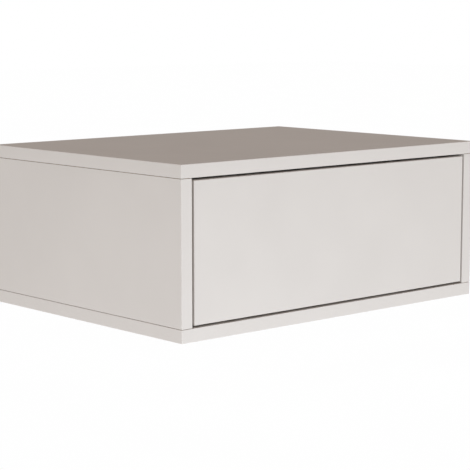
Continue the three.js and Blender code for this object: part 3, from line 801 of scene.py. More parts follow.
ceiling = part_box("top_panel")[0].z
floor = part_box("bottom_panel")[1].z
wall_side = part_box("top_panel")[1].y
inside_half = -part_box("left_side_panel")[1].x
print(f"inside the cabinet: {2000 * inside_half:.0f} wide, {1000 * (ceiling - floor):.0f} high")

# %% [markdown]
# The boards' holes are bored before assembly: blind ones for cams, bolts and dowels, so that nothing
# shows on the top, and through ones from below for the confirmat screws. A plain bore is cut by a rod.
# A screw hole is cut by a turned shape, because a countersunk head needs a cone above its shank.

# %% Screw holes
confirmat_shank = 3.4 * mm
confirmat_head_height = 4 * mm
runner_shank = 1.75 * mm
runner_head_height = 2.4 * mm
rows = ("front", "rear")
hands = {"left": -1, "right": 1}


def sunk_hole(node, way, shank, head_height):
    """A cutter for a countersunk screw whose head looks along a direction."""
    low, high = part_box(node)
    size = high - low
    axis = max((X, Y, Z), key=lambda n: abs(way[n]))
    length = size[axis]
    head = min(size) / 2
    cutter = add_turned(
        [
            (0, -length - cut_room),
            (shank + cut_room, -length - cut_room),
            (shank + cut_room, -head_height),
            (head + cut_room, 0),
            (head + cut_room, overrun),
            (0, overrun),
        ],
        sides=rod_sides,
    )
    placed = copy_to(cutter, (low + high) / 2 + Vector(way) * length / 2, way)
    drop(cutter)
    return paint(placed, chipboard)


def confirmat_hole(hand, row):
    """A cutter for a confirmat screw, whose head looks down."""
    return sunk_hole(f"confirmat_screw_{hand}_{row}", -z_way, confirmat_shank, confirmat_head_height)


confirmat_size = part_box("confirmat_screw_left_front")[1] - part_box("confirmat_screw_left_front")[0]
print(f"confirmat: head {1000 * confirmat_size.x:.0f} mm wide, {1000 * confirmat_size.z:.0f} mm long")

# %% [markdown]
# The cabinet is four boards. The top and the bottom lie over the ends of the sides, so their edging
# runs round three edges and the fourth, at the wall, is left sawn. A groove near the wall takes the
# back panel. The grooves and bores could be drawn face by face, but cutting them out of a whole board
# is what the machine does too, and it leaves raw chipboard in every cut.

# %% Top and bottom panels
groove_play = 0.2 * mm
back_low, back_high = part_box("back_panel")


def back_groove(low_z, high_z):
    """A cutter for the groove that the back panel stands in."""
    low = (back_low.x - 2 * groove_play, back_low.y - groove_play, low_z)
    high = (back_high.x + 2 * groove_play, back_high.y + groove_play, high_z)
    return raw_block(low, high)


top_rounding = {(Y, wall_side): sawn_radius, (Z, ceiling): joint_radius}
top = add_board("top_panel", band_radius, top_rounding, raw=[y_way])
carve(top, back_groove(ceiling - overrun, back_high.z + 2 * groove_play))
carve(top, *[bore_for(f"cam_bolt_{hand}_{row}", Z) for hand in hands for row in rows])
carve(top, *[bore_for(f"dowel_{hand}", Z) for hand in hands])
hand_over(top, "top_panel")

bottom_rounding = {(Y, wall_side): sawn_radius, (Z, floor): joint_radius}
bottom = add_board("bottom_panel", band_radius, bottom_rounding, raw=[y_way])
carve(bottom, back_groove(back_low.z - 2 * groove_play, floor + overrun))
carve(bottom, *[confirmat_hole(hand, row) for hand in hands for row in rows])
hand_over(bottom, "bottom_panel")
print("top panel faces:", len(top.data.polygons), "bottom panel faces:", len(bottom.data.polygons))

# %% [markdown]
# The sides stand between the top and the bottom, and their sawn ends are hidden in the joints. Each
# has a groove for the back panel, bores for its cams, bolts and dowel, holes for the screws of the
# bottom and the runner, and two blind holes for the pegs of its hanger. Left and right are mirror
# images, so one loop makes both, with a sign for the side that each is on.

# %% Side panels
peg_radius = 5 * mm
peg_depth = 11.3 * mm
peg_spread = 32 * mm


def peg_hole(hand, half):
    """A cutter for one of the two holes that a hanger's pegs push into."""
    hanger = middle(f"{hand}_hanger_housing")
    start = (hands[hand] * (inside_half - overrun), hanger.y, hanger.z + half * peg_spread / 2)
    hole = add_rod(start, hands[hand] * x_way, peg_radius + cut_room, peg_depth + overrun)
    return paint(hole, chipboard)


def side_groove(hand):
    """A cutter for the back panel's groove in a side."""
    reach = (inside_half - overrun, back_high.x + 2 * groove_play)
    near_x, far_x = sorted(hands[hand] * x for x in reach)
    low = (near_x, back_low.y - groove_play, floor)
    high = (far_x, back_high.y + groove_play, ceiling)
    return raw_block(low, high)


for hand, sign in hands.items():
    node = f"{hand}_side_panel"
    low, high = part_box(node)
    rounding = {(Y, wall_side): sawn_radius}
    rounding |= {(Z, place): joint_radius for place in (low.z + joint_rim, high.z - joint_rim)}
    side = add_board(node, band_radius, rounding, [y_way, z_way, -z_way], joint_rim)
    for way in (z_way, -z_way):
        push_out_end(side, way)
    heights = [vertex.co.z for vertex in side.data.vertices]
    assert near(min(heights), low.z) and near(max(heights), high.z)
    carve(side, side_groove(hand))
    carve(side, *[bore_for(f"cam_lock_{hand}_{row}", X) for row in rows])
    carve(side, *[bore_for(f"cam_bolt_{hand}_{row}", Z) for row in rows])
    carve(side, bore_for(f"dowel_{hand}", Z), *[confirmat_hole(hand, row) for row in rows])
    carve(side, *[peg_hole(hand, half) for half in (1, -1)])
    for row in rows:
        screw = f"runner_cabinet_screw_{hand}_{row}"
        carve(side, sunk_hole(screw, -sign * x_way, runner_shank, runner_head_height))
    hand_over(side, node)
    print(f"{hand} side: {len(side.data.polygons)} faces")

# %% [markdown]
# The floor and the light are set up here, before the small pieces. The photograph's background is pure
# white and without a shadow, as over a light table, so the floor gives its own light. It lies two and a
# half metres down, so that the cabinet can also be seen from below, and a painted soft shadow makes it a
# little dimmer in front of the cabinet.

# %% Floor
floor_depth = 2.5
floor_size = 125.0
clouding_mm = 900
# A painted soft shadow: the floor glows less in front of the cabinet, and so lights its front less.
painted_shadow_place = (-2.5, -2.9, -floor_depth)
painted_shadow_reach = (3.1, 9.0)
painted_shadow_level = 0.75


def light_table():
    """Back-lit opal sheet: an even white with the faintest clouding, and a painted soft shadow round one
    place.
    """
    material = bpy.data.materials.new("back_lit_opal_sheet")
    material.use_nodes = True
    tree = material.node_tree
    tree.nodes.clear()
    place = add_node(tree, "ShaderNodeTexCoord").outputs["Object"]
    clouding = {"Vector": place, "Scale": per_metre(clouding_mm)[0]}
    opal = add_node(tree, "ShaderNodeTexNoise", clouding).outputs["Fac"]
    run = add_node(tree, "ShaderNodeValToRGB", {"Fac": opal})
    run.color_ramp.elements[0].color = linear("#fefefe")
    run.color_ramp.elements[1].color = linear("#ffffff")
    # The painted shadow: the glow is weakest near its centre, and full again beyond its reach.
    spans = {0: place, 1: painted_shadow_place}
    away = add_node(tree, "ShaderNodeVectorMath", spans, operation="DISTANCE").outputs["Value"]
    rise = {"Value": away, "From Min": painted_shadow_reach[0], "From Max": painted_shadow_reach[1], "To Min": painted_shadow_level}
    level = add_node(tree, "ShaderNodeMapRange", rise, interpolation_type="SMOOTHSTEP")
    light = {"Color": run.outputs["Color"], "Strength": level.outputs["Result"]}
    glow = add_node(tree, "ShaderNodeEmission", light)
    add_node(tree, "ShaderNodeOutputMaterial", {"Surface": glow.outputs["Emission"]})
    return material


clear_selection()
bpy.ops.mesh.primitive_plane_add(size=floor_size, location=(0, 0, -floor_depth))
studio_floor = keep_place()
studio_floor.name = "studio_floor"
paint(studio_floor, light_table())
print(f"floor: {floor_size:.0f} m wide, {floor_depth} m down")

# %% [markdown]
# A studio's walls and ceiling give most of the light, and a metal has nothing else to reflect. One
# colour all round would light every face equally, so the dome is white near the horizon and dimmer
# and warmer overhead. That makes the top the darkest face, as it is in the photograph.

# %% Surroundings
horizon_band = (0.02, 0.10)


def surround(horizon, overhead, overhead_colour):
    """A studio dome: white at the horizon, and a dimmer, warmer ceiling above."""
    world = bpy.data.worlds.new("studio_dome")
    world.use_nodes = True
    tree = world.node_tree
    tree.nodes.clear()
    way = add_node(tree, "ShaderNodeTexCoord").outputs["Generated"]
    height = add_node(tree, "ShaderNodeSeparateXYZ", {"Vector": way}).outputs["Z"]
    band = {"Value": height, "From Min": horizon_band[0], "From Max": horizon_band[1]}
    rise = add_node(tree, "ShaderNodeMapRange", band).outputs["Result"]
    white = {"Color": (1, 1, 1, 1), "Strength": horizon}
    low_light = add_node(tree, "ShaderNodeBackground", white).outputs[0]
    warm = {"Color": overhead_colour, "Strength": overhead}
    high_light = add_node(tree, "ShaderNodeBackground", warm).outputs[0]
    mix = add_node(tree, "ShaderNodeMixShader", {"Fac": rise, 1: low_light, 2: high_light})
    add_node(tree, "ShaderNodeOutputWorld", {"Surface": mix.outputs[0]})
    bpy.context.scene.world = world


surround(horizon=1.0, overhead=0.47, overhead_colour=(1.0, 0.912, 0.862, 1.0))
print("surroundings:", bpy.context.scene.world.name)

# %% [markdown]
# Two soft boxes stand in the studio. The stronger one is in front and below, and gives the drawer
# front its brightness while the top stays dark. The weaker one makes the side's near end brighter
# than its far end. Lamps of this size cast no hard shadow, and neither is in the picture itself.

# %% Lamps


def soft_box(name, place, target, size, watts, colour):
    """A large square lamp that looks at a point, and is never in the picture itself."""
    clear_selection()
    turn = (Vector(target) - Vector(place)).to_track_quat("-Z", "Y").to_euler()
    bpy.ops.object.light_add(type="AREA", location=place, rotation=turn)
    lamp = bpy.context.object
    lamp.name = name
    lamp.data.shape = "SQUARE"
    lamp.data.size = size
    lamp.data.energy = watts
    lamp.data.color = colour
    lamp.visible_camera = False
    return lamp


lamps = {
    "front_soft_box": {"place": (-0.15, -1.6, -0.9), "watts": 12.6, "colour": (0.817, 0.903, 1.0)},
    "side_soft_box": {"place": (-0.9, -0.45, -0.6), "watts": 2.7, "colour": (0.862, 0.915, 1.0)},
}
for name, settings in lamps.items():
    soft_box(name, target=(0, -0.25, -0.05), size=0.8, **settings)
print("lamps:", ", ".join(lamps))

# %% [markdown]
# The back panel is hardboard that stands in the grooves, lacquered on the side that shows when the
# drawer is out. Its two upper corners are cut away, so that the hangers' hooks can reach through to
# the rail. The drawer's bottom is the same sheet, lacquered on top.

# %% Back panel and drawer bottom
hook_gauge = 4 * mm
hook_width = 10 * mm


def add_sheet(node, lacquered_way):
    """A sheet of hardboard in a node's box, with lacquer on one side."""
    sheet = add_block(*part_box(node))
    round_edges(sheet, sawn_radius, {})
    paint(sheet, hardboard)
    paint_faces(sheet, lacquer, lambda face: faces(face, lacquered_way))
    return sheet


def hook_notch(hand):
    """A cutter for the corner that a hook reaches through."""
    hook_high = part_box(f"{hand}_hanger_hook")[1]
    reach = abs(middle(f"{hand}_hanger_hook").x) - hook_width
    near_x, far_x = sorted(hands[hand] * x for x in (reach, back_high.x + overrun))
    low = (near_x, back_low.y - overrun, hook_high.z - hook_gauge - hook_width)
    return paint(add_block(low, (far_x, back_high.y + overrun, back_high.z + overrun)), hardboard)


back = add_sheet("back_panel", -y_way)
carve(back, *[hook_notch(hand) for hand in hands])
hand_over(back, "back_panel")
tray = add_sheet("drawer_bottom", z_way)
hand_over(tray, "drawer_bottom")
print("back panel faces:", len(back.data.polygons))

# %% [markdown]
# The drawer is a front that fills the opening, screwed from inside to a box of thinner boards. The
# box's boards are edged on top, where a hand touches them, and sawn below. A groove all round the
# inside holds the bottom. The front is edged on all four sides, because the open line round it shows
# them.

# %% Drawer boards
box_radius = 0.5 * mm
front_shank = 2 * mm
tray_low, tray_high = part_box("drawer_bottom")


def tray_groove():
    """A cutter for the groove that holds the drawer's bottom, open towards the rear."""
    play = Vector((groove_play, groove_play, groove_play))
    return raw_block(tray_low - play, tray_high + play + overrun * y_way)


def front_screw_hole(hand):
    """A cutter for the screw that holds the front."""
    low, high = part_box(f"front_screw_{hand}")
    centre = (low + high) / 2
    start = (centre.x, low.y - cut_room, centre.z)
    return paint(add_rod(start, y_way, front_shank + cut_room, high.y - low.y), chipboard)


front = add_board("drawer_front", band_radius, {}, raw=[])
carve(front, *[front_screw_hole(hand) for hand in hands])
hand_over(front, "drawer_front")

box_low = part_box("drawer_left_side")[0].z
inner_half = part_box("drawer_inner_front")[1].x
sawn_ends = {(X, inner_half): sawn_radius, (X, -inner_half): sawn_radius}
cross_boards = {}
for node in ("drawer_inner_front", "drawer_back"):
    rounding = {(Z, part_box(node)[0].z): sawn_radius, **sawn_ends}
    cross_boards[node] = add_board(node, box_radius, rounding, raw=[-z_way, x_way, -x_way])
inner_holes = [front_screw_hole(hand) for hand in hands]
carve(cross_boards["drawer_inner_front"], tray_groove(), *inner_holes)
for node, board in cross_boards.items():
    hand_over(board, node)

for hand, sign in hands.items():
    rounding = {(Z, box_low): sawn_radius}
    side = add_board(f"drawer_{hand}_side", box_radius, rounding, raw=[-z_way, -y_way])
    carve(side, tray_groove())
    for row in rows:
        screw = f"runner_drawer_screw_{hand}_{row}"
        carve(side, sunk_hole(screw, sign * x_way, runner_shank, runner_head_height))
    hand_over(side, f"drawer_{hand}_side")
print("drawer front faces:", len(front.data.polygons), "drawer side faces:", len(side.data.polygons))

# %% [markdown]
# A screw's thread is rolled on and the driver's recess is struck into its head. The thread's crests are
# rings here and not a helix, which no eye can tell apart at this size, because rings can be spun with
# the rest of the profile. The recess is two tapered blades that cross, or a hexagon in the confirmat
# screws.

# %% Threads and driver's recesses
valley_share, crest_share = 0.5, 0.75
blade_taper = 0.6
socket_inset, socket_cone = 0.1, 0.15


def thread(radius, depth, pitch, low, high):
    """The roots and crests of a thread between two heights. A crest takes half of the pitch."""
    root = radius - depth
    steps = [(root, low)]
    for n in range(int((high - low) / pitch)):
        start = low + n * pitch
        steps += [
            (root, start + valley_share * pitch),
            (radius, start + crest_share * pitch),
            (root, start + pitch),
        ]
    return steps


def cross_cut(top, arm, width, depth):
    """Two crossed cutters whose lower ends are narrower, as a driver's bit is."""
    blades = []
    for along, across in ((arm, width), (width, arm)):
        half = Vector((along / 2, across / 2, 0))
        blade = add_block(-half + (top - depth) * z_way, half + (top + overrun) * z_way)
        open_with(blade, "FACE", lambda face: faces(face, -z_way))
        bpy.ops.transform.resize(value=(blade_taper, blade_taper, 1))
        close()
        blades.append(blade)
    return blades


def hex_cut(top, across, depth):
    """A cutter for a hexagonal socket, with a drilled cone at its bottom."""
    socket = add_rod((0, 0, top - depth), z_way, across / 2, depth + overrun, sides=6)
    open_with(socket, "FACE", lambda face: faces(face, -z_way))
    bpy.ops.mesh.inset(thickness=socket_inset * across)
    bpy.ops.transform.translate(value=(0, 0, -socket_cone * across))
    close()
    return socket


print(f"a recess narrows to {100 * blade_taper:.0f} per cent")

# %% [markdown]
# One profile gives a whole screw: the point, the thread's crests and the head. It is spun round the
# axis, as the blank is turned. Everything but the head grows with the shank, so most sizes are shares
# of the shank's radius.

# %% Heads and whole screws
thread_share = 0.28
point_share = 0.3
point_length_share = 1.5
plain_neck_share = 0.4
sunk_rim = 0.25 * mm
sunk_bevel = 0.05 * mm


def sunk_crown(head, head_height, root):
    """A countersunk head: its cone and the rim of its flat face."""
    rim = [(head, -sunk_rim), (head, -sunk_bevel), (head - sunk_bevel, 0)]
    return [(root, -head_height), *rim, (0, 0)]


def pan_crown(head, head_height, root):
    """A pan head: its seat, its rim in a quarter round, and its flat top."""
    radius = head_height / 2
    rim = []
    for angle in (0, 30, 60, 90):
        turn = math.radians(angle)
        rim.append((head - radius + radius * math.cos(turn), radius * (1 + math.sin(turn))))
    return [(root, 0), (head, 0), *rim, (0, head_height)]


def add_screw(node, shank, pitch, head_height, sunk):
    """A screw at the origin, head up. A pan head's seat or a sunk head's face is at height 0."""
    low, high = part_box(node)
    size = sorted(high - low)
    head = size[0] / 2
    length = size[2] - (0 if sunk else head_height)
    depth = thread_share * shank
    thread_low = -length + point_length_share * shank
    thread_high = -(head_height if sunk else 0) - plain_neck_share * shank
    shaft = [(0, -length), (point_share * shank, -length)]
    shaft += thread(shank, depth, pitch, thread_low, thread_high)
    crown = sunk_crown if sunk else pan_crown
    return add_turned(shaft + crown(head, head_height, shank - depth))


def set_in_place(model, node, way, material):
    """A copy of a turned piece where its node is, with its upper end towards a direction."""
    heights = [vertex.co.z for vertex in model.data.vertices]
    centre = (min(heights) + max(heights)) / 2
    piece = copy_to(model, middle(node) - centre * Vector(way), way)
    hand_over(paint(piece, material), node)


print(f"a thread is {100 * thread_share:.0f} per cent of its shank's radius deep")

# %% [markdown]
# A countersunk head lies flush, where another part has to sit or slide close above it. Four confirmat
# screws hold the bottom to the sides, and eight short screws hold the runners. Each kind is made once
# at the origin and copied to its nodes. Its head looks the way that it was driven from: downwards for
# the confirmats, and away from the board that a runner is fixed to.

# %% Countersunk screws
confirmat_pitch = 3 * mm
confirmat_socket = (4.6 * mm, 2.8 * mm)
runner_pitch = 1.4 * mm
runner_cross = (3.6 * mm, 0.9 * mm, 1.6 * mm)

confirmat = add_screw(
    "confirmat_screw_left_front", confirmat_shank, confirmat_pitch, confirmat_head_height, sunk=True
)
carve(confirmat, hex_cut(0, *confirmat_socket))
runner_make = (runner_shank, runner_pitch, runner_head_height)
cabinet_screw, drawer_screw = (
    add_screw(f"runner_{place}_screw_left_front", *runner_make, sunk=True)
    for place in ("cabinet", "drawer")
)
for screw in (cabinet_screw, drawer_screw):
    carve(screw, *cross_cut(0, *runner_cross))
for hand, sign in hands.items():
    outwards = sign * x_way
    for row in rows:
        place = f"{hand}_{row}"
        set_in_place(confirmat, f"confirmat_screw_{place}", -z_way, plating)
        set_in_place(cabinet_screw, f"runner_cabinet_screw_{place}", -outwards, plating)
        set_in_place(drawer_screw, f"runner_drawer_screw_{place}", outwards, plating)
drop(confirmat, cabinet_screw, drawer_screw)
print(f"runner screws: a thread every {1000 * runner_pitch:.1f} mm")

# %% [markdown]
# A pan head stands on its surface and holds by its flat seat. Two such screws hold the drawer front
# from inside the drawer, two hold the latch to the floor, and two thicker ones adjust the hangers.
# They differ only in size and direction, so one loop makes all three kinds from a short table.

# %% Pan-head screws
latch_shank = 1.75 * mm
hanger_shank = 3 * mm

pan_screws = {
    ("front_screw_left", "front_screw_right"): {
        "shank": front_shank,
        "pitch": 1.6 * mm,
        "head_height": 2.2 * mm,
        "cross": (4.2 * mm, 1.0 * mm, 1.6 * mm),
        "head_way": y_way,
    },
    ("latch_screw_left", "latch_screw_right"): {
        "shank": latch_shank,
        "pitch": 1.4 * mm,
        "head_height": 1.8 * mm,
        "cross": (3.4 * mm, 0.9 * mm, 1.3 * mm),
        "head_way": z_way,
    },
    ("left_hanger_screw", "right_hanger_screw"): {
        "shank": hanger_shank,
        "pitch": 1.0 * mm,
        "head_height": 2.4 * mm,
        "cross": (5.0 * mm, 1.3 * mm, 1.9 * mm),
        "head_way": -y_way,
    },
}
for nodes, make in pan_screws.items():
    screw = add_screw(nodes[0], make["shank"], make["pitch"], make["head_height"], sunk=False)
    carve(screw, *cross_cut(make["head_height"], *make["cross"]))
    for node in nodes:
        set_in_place(screw, node, make["head_way"], plating)
    drop(screw)
    print(nodes[0], f"head {1000 * make['head_height']:.1f} mm high")

# %% [markdown]
# A cam lock is a small drum of cast zinc with a mouth in its side. The head of the bolt from the top
# panel enters the mouth, and a half turn of the drum draws the boards together. Its face has a ring,
# a cross for the driver and nothing else. A drum is round, so its profile is spun, and only the mouth
# and the cross are cut.

# %% Cam lock
cam_low, cam_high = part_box("cam_lock_right_front")
cam_radius = (cam_high.z - cam_low.z) / 2
cam_height = cam_high.x - cam_low.x
cam_foot_bevel = 0.4 * mm
cam_bevel = 0.3 * mm
ring_outside = cam_radius - 1.0 * mm
ring_inside = cam_radius - 2.1 * mm
ring_depth = 0.3 * mm
ring_slope = 0.2 * mm
face_step = 0.05 * mm
cam_profile = [
    (0, -cam_height),
    (cam_radius - cam_foot_bevel, -cam_height),
    (cam_radius, cam_foot_bevel - cam_height),
    (cam_radius, -cam_bevel),
    (cam_radius - cam_bevel, 0),
    (ring_outside, 0),
    (ring_outside - ring_slope, -ring_depth),
    (ring_inside + ring_slope, -ring_depth),
    (ring_inside, -face_step),
    (0, -face_step),
]
cam = add_turned(cam_profile, sides=fine_sides)

mouth_half = 3.5 * mm
mouth_back = 2.4 * mm
cam_cross = (9 * mm, 1.6 * mm, 1.8 * mm)
bolt_line = -(abs(middle("cam_bolt_right_front").x) - inside_half)
mouth_low = (-mouth_half, -mouth_back, bolt_line - mouth_half)
carve(cam, add_block(mouth_low, (mouth_half, cam_radius + overrun, bolt_line + mouth_half)))
carve(cam, *cross_cut(0, *cam_cross))
print(f"cam lock: {2000 * cam_radius:.1f} mm wide, {1000 * cam_height:.1f} mm deep")

# %% [markdown]
# The bolt is turned steel: a head for the cam, a thin neck, a collar, and a wood thread that holds in
# the top panel. The dowel is beech, with pressed flutes that let the glue spread. Both are spun from a
# profile. The flutes could be cut one by one, but moving every third line of the dowel's wall towards
# its axis presses them in all at once.

# %% Cam bolt and dowel
bolt_low, bolt_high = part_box("cam_bolt_right_front")
bolt_head = (bolt_high.x - bolt_low.x) / 2
bolt_foot = bolt_low.z - ceiling
bolt_grip = bolt_high.z - ceiling
head_bevel = 0.5 * mm
head_top = bolt_foot + 2.4 * mm
neck_radius = 2.2 * mm
neck_top = bolt_foot + 7.4 * mm
collar_radius = 3.0 * mm
collar_foot = bolt_foot + 8.2 * mm
collar_top = -0.3 * mm
point_length = 1 * mm
wood_thread = {"radius": collar_radius, "depth": 0.7 * mm, "pitch": 2.0 * mm}
bolt_profile = [
    (0, bolt_foot),
    (bolt_head - head_bevel, bolt_foot),
    (bolt_head, bolt_foot + head_bevel),
    (bolt_head, head_top - head_bevel),
    (bolt_head - head_bevel, head_top),
    (neck_radius, head_top),
    (neck_radius, neck_top),
    (collar_radius, collar_foot),
    (collar_radius, collar_top),
    *thread(**wood_thread, low=0, high=bolt_grip - point_length),
    (0, bolt_grip),
]
bolt = add_turned(bolt_profile)

dowel_low, dowel_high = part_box("dowel_left")
dowel_half = (dowel_high.z - dowel_low.z) / 2
dowel_radius = (dowel_high.x - dowel_low.x) / 2
dowel_bevel = 1 * mm
dowel_profile = [
    (0, -dowel_half),
    (dowel_radius - dowel_bevel, -dowel_half),
    (dowel_radius, dowel_bevel - dowel_half),
    (dowel_radius, dowel_half - dowel_bevel),
    (dowel_radius - dowel_bevel, dowel_half),
    (0, dowel_half),
]
dowel_sides = 36
flute_each = 3
flute_share = 0.92
dowel = add_turned(dowel_profile, dowel_sides)


def in_a_flute(edge):
    """Whether an edge runs along the dowel where a flute is pressed, on every third line."""
    centre = (edge.verts[0].co + edge.verts[1].co) / 2
    line = round(math.atan2(centre.y, centre.x) / (2 * math.pi / dowel_sides))
    return runs_along(edge, Z) and line % flute_each == 0


open_with(dowel, "EDGE", in_a_flute)
bpy.ops.transform.resize(value=(flute_share, flute_share, 1), center_override=(0, 0, 0))
close()
print(f"dowel: {2000 * dowel_radius:.0f} mm thick, with {dowel_sides // flute_each} flutes")

# %% [markdown]
# Each cam lies in a side panel, with its face flush and its mouth looking up at the bolt that comes
# down from the top panel. Its face lies at height 0 in the model, so the cam is set by its face. Bolts
# and dowels stand upright and are set by their middles.

# %% Cam locks, cam bolts and dowels in their places
for hand, sign in hands.items():
    for row in rows:
        lock_place = middle(f"cam_lock_{hand}_{row}")
        lock_place.x = sign * inside_half
        lock = copy_to(cam, lock_place, -sign * x_way)
        hand_over(paint(lock, zinc), f"cam_lock_{hand}_{row}")
        set_in_place(bolt, f"cam_bolt_{hand}_{row}", z_way, plating)
    set_in_place(dowel, f"dowel_{hand}", z_way, beech)
drop(cam, bolt, dowel)
print("set: 4 cam locks, 4 cam bolts, 2 dowels")

# %% [markdown]
# The cabinet hangs on a rolled steel rail that is screwed to the wall through four slots. The slots
# are long, so that the rail can be shifted a little before its screws are tightened. Its upper lip
# stands off the wall, and two hooks drop in behind it. The rail is folded strip, so it is drawn as a
# line, pushed along the wall and given its gauge. The slots are cut by blocks with round ends.

# %% Wall rail
rail_gauge = 2 * mm
rail_bend = 2.5 * mm
rail_low, rail_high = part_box("wall_rail")
web_half = -rail_low.z
stand_off = -rail_low.y - rail_gauge
rail_line = [
    (rail_low.x, 0, -web_half),
    (rail_low.x, 0, web_half),
    (rail_low.x, -stand_off, web_half + stand_off),
    (rail_low.x, -stand_off, rail_high.z),
]
rail_push = (rail_high.x - rail_low.x, 0, 0)
rail_corner = 3 * mm
rail = add_strip(rail_line, rail_push, rail_gauge, rail_bend, inside=(0, -1, 0))
paint(rail, rail_plating)


slot_round_share = 0.49
slot_round_steps = 8


def slot_cutter(centre, size, axis, finish):
    """A cutter with round ends, for a slot that is punched along an axis."""
    centre, size = Vector(centre), Vector(size)
    cutter = add_block(centre - size / 2, centre + size / 2)
    radius = slot_round_share * min(size[n] for n in (X, Y, Z) if n != axis)
    soften(cutter, radius, lambda edge: runs_along(edge, axis), slot_round_steps)
    return paint(cutter, finish)


rail_slot = Vector((14 * mm, 8 * mm, 6.5 * mm))
slot_from_end = 40 * mm
slot_spacing = 120 * mm
outer_slot = rail_high.x - slot_from_end
inner_slot = outer_slot - slot_spacing
slot_places = (-outer_slot, -inner_slot, inner_slot, outer_slot)
carve(rail, *[slot_cutter((x, -rail_gauge / 2, 0), rail_slot, Y, rail_plating) for x in slot_places])


def on_rail_corner(edge):
    """Whether an edge is one of the four short ones at the rail's outer corners."""
    centre = (edge.verts[0].co + edge.verts[1].co) / 2
    at_end = near(abs(centre.x), rail_high.x)
    at_tip = near(centre.z, rail_high.z) or near(centre.z, rail_low.z)
    return at_end and at_tip and runs_along(edge, Y)


soften(rail, rail_corner, on_rail_corner, bend_steps)
hand_over(rail, "wall_rail")
print(f"wall rail: {1000 * rail_push[0]:.0f} mm long, {len(rail.data.polygons)} faces")

# %% [markdown]
# The housings that carry the hooks are cast boxes, open at the back, with two pegs that push into the
# side panel. A box could be built from five walls, but a casting has no seams. So a block's rear face
# is inset and pushed in, which leaves the walls, and the pegs are welded on.

# %% Hanger housings
housing_wall = 2 * mm
housing_radius = 1 * mm
housing_play = 0.1 * mm
peg_bevel = 0.8 * mm
groove_size = Vector((14 * mm, 0.6 * mm, 1.2 * mm))
groove_from_end = 7 * mm
shell_low, shell_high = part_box("right_hanger_housing")
peg_end = shell_high.x
shell_high.x = inside_half - housing_play
screw_line = middle("right_hanger_screw")

housing = add_block(shell_low, shell_high)
soften(housing, housing_radius, is_sharp)
open_with(housing, "FACE", lambda face: faces(face, y_way))
bpy.ops.mesh.inset(thickness=housing_wall - housing_radius)
push_in = (0, shell_low.y - shell_high.y + housing_wall, 0)
bpy.ops.mesh.extrude_region_move(TRANSFORM_OT_translate={"value": push_in})
close()
for half in (1, -1):
    peg_height = screw_line.z + half * peg_spread / 2
    peg_root = (shell_high.x - housing_wall / 2, middle("right_hanger_housing").y, peg_height)
    peg = add_rod(peg_root, x_way, peg_radius, peg_end - peg_root[0])
    soften(peg, peg_bevel, lambda edge: is_sharp(edge) and near(edge.verts[0].co.x, peg_end))
    weld(housing, peg)
screw_start = (screw_line.x, shell_low.y - overrun, screw_line.z)
carve(housing, add_rod(screw_start, y_way, hanger_shank + cut_room, housing_wall + 2 * overrun))
for height in (shell_low.z + groove_from_end, shell_high.z - groove_from_end):
    carve(housing, slot_cutter((screw_line.x, shell_low.y, height), groove_size, Y, zinc))
paint(housing, zinc)
both_hands(housing, "hanger_housing")
print(f"hanger housing: {len(housing.data.polygons)} faces")

# %% [markdown]
# A hook is thick strip that is folded twice. It stands in its housing, reaches back over the rail's
# lip and drops in behind it, and the adjusting screw goes through it. It is made as the rail is, from
# a folding line, and its cut edges are broken a little, as by tumbling.

# %% Hooks
hook_bend = 4.5 * mm
hook_drop = 11 * mm
hook_radius = 0.5 * mm
hook_low, hook_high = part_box("right_hanger_hook")
hook_line = [
    (hook_low.x, hook_high.y, hook_high.z - hook_drop),
    (hook_low.x, hook_high.y, hook_high.z),
    (hook_low.x, hook_low.y, hook_high.z),
    (hook_low.x, hook_low.y, hook_low.z),
]
hook_inside = (screw_line.x, (hook_low.y + hook_high.y) / 2, hook_low.z)
hook = add_strip(hook_line, (hook_width, 0, 0), hook_gauge, hook_bend, hook_inside)
soften(hook, hook_radius, is_sharp)
hook_start = (screw_line.x, hook_low.y - overrun, screw_line.z)
carve(hook, add_rod(hook_start, y_way, hanger_shank + cut_room, hook_gauge + 2 * overrun))
paint(hook, plating)
both_hands(hook, "hanger_hook")
print(f"hook: {len(hook.data.polygons)} faces")

# %% [markdown]
# Each runner is three rolled members that nest in each other and run on rows of balls. A member is
# strip folded to a channel, with round tracks where the balls run, so it is drawn as a line, pushed
# along the runner, its corners rounded and given its gauge. Then the press punches its holes. The
# right runner is made, and the left one is its mirror image.

# %% Helpers for runner members
runner_gauge = 1.2 * mm
punch_depth = 6 * mm


def channel_line(low, high, lip):
    """A channel whose web is on the high side of x and whose flanges turn back by a lip."""
    corners = [(low.x, high.z), (high.x, high.z), (high.x, low.z), (low.x, low.z)]
    ends = [(low.x, high.z - lip), (low.x, low.z + lip)]
    return [(x, low.y, z) for x, z in (ends[0], *corners, ends[1])]


def add_channel(node, line, track):
    """A runner member in a node's box, from its folding line and the radius of its ball tracks."""
    low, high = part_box(node)
    centre = (low + high) / 2
    member = add_strip(line, (0, high.y - low.y, 0), runner_gauge, track, centre)
    return paint(member, plating)


def from_ends(node, inset):
    """Two places along a member, each as far in from one of its ends."""
    low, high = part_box(node)
    return [low.y + inset, high.y - inset]


def about_middle(node, *steps):
    """Places along a member, at each step to both sides of its middle."""
    low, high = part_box(node)
    centre = (low.y + high.y) / 2
    return sorted({centre + sign * step for step in steps for sign in (-1, 1)})


def punch(member, web_x, slots):
    """Slots through a member's web. A row holds their places along it, their length and height."""
    line = middle("right_runner_cabinet_member").z
    for places, length, height in slots:
        size = Vector((punch_depth, length, height))
        carve(member, *[slot_cutter((web_x, y, line), size, X, plating) for y in places])


def steel_hole(node, way):
    """A cutter for a countersunk screw in steel."""
    return paint(sunk_hole(node, way, runner_shank, runner_head_height), plating)


print(f"runner members are folded from {1000 * runner_gauge:.1f} mm strip")

# %% [markdown]
# The cabinet member is the widest channel, and its web is screwed to the side panel. Its lips turn
# back round the outer balls. Three large windows in the web save steel, and the small slots take
# screws in other cabinets. All of them lie on the runner's middle line, so a short table of places
# and sizes is enough.

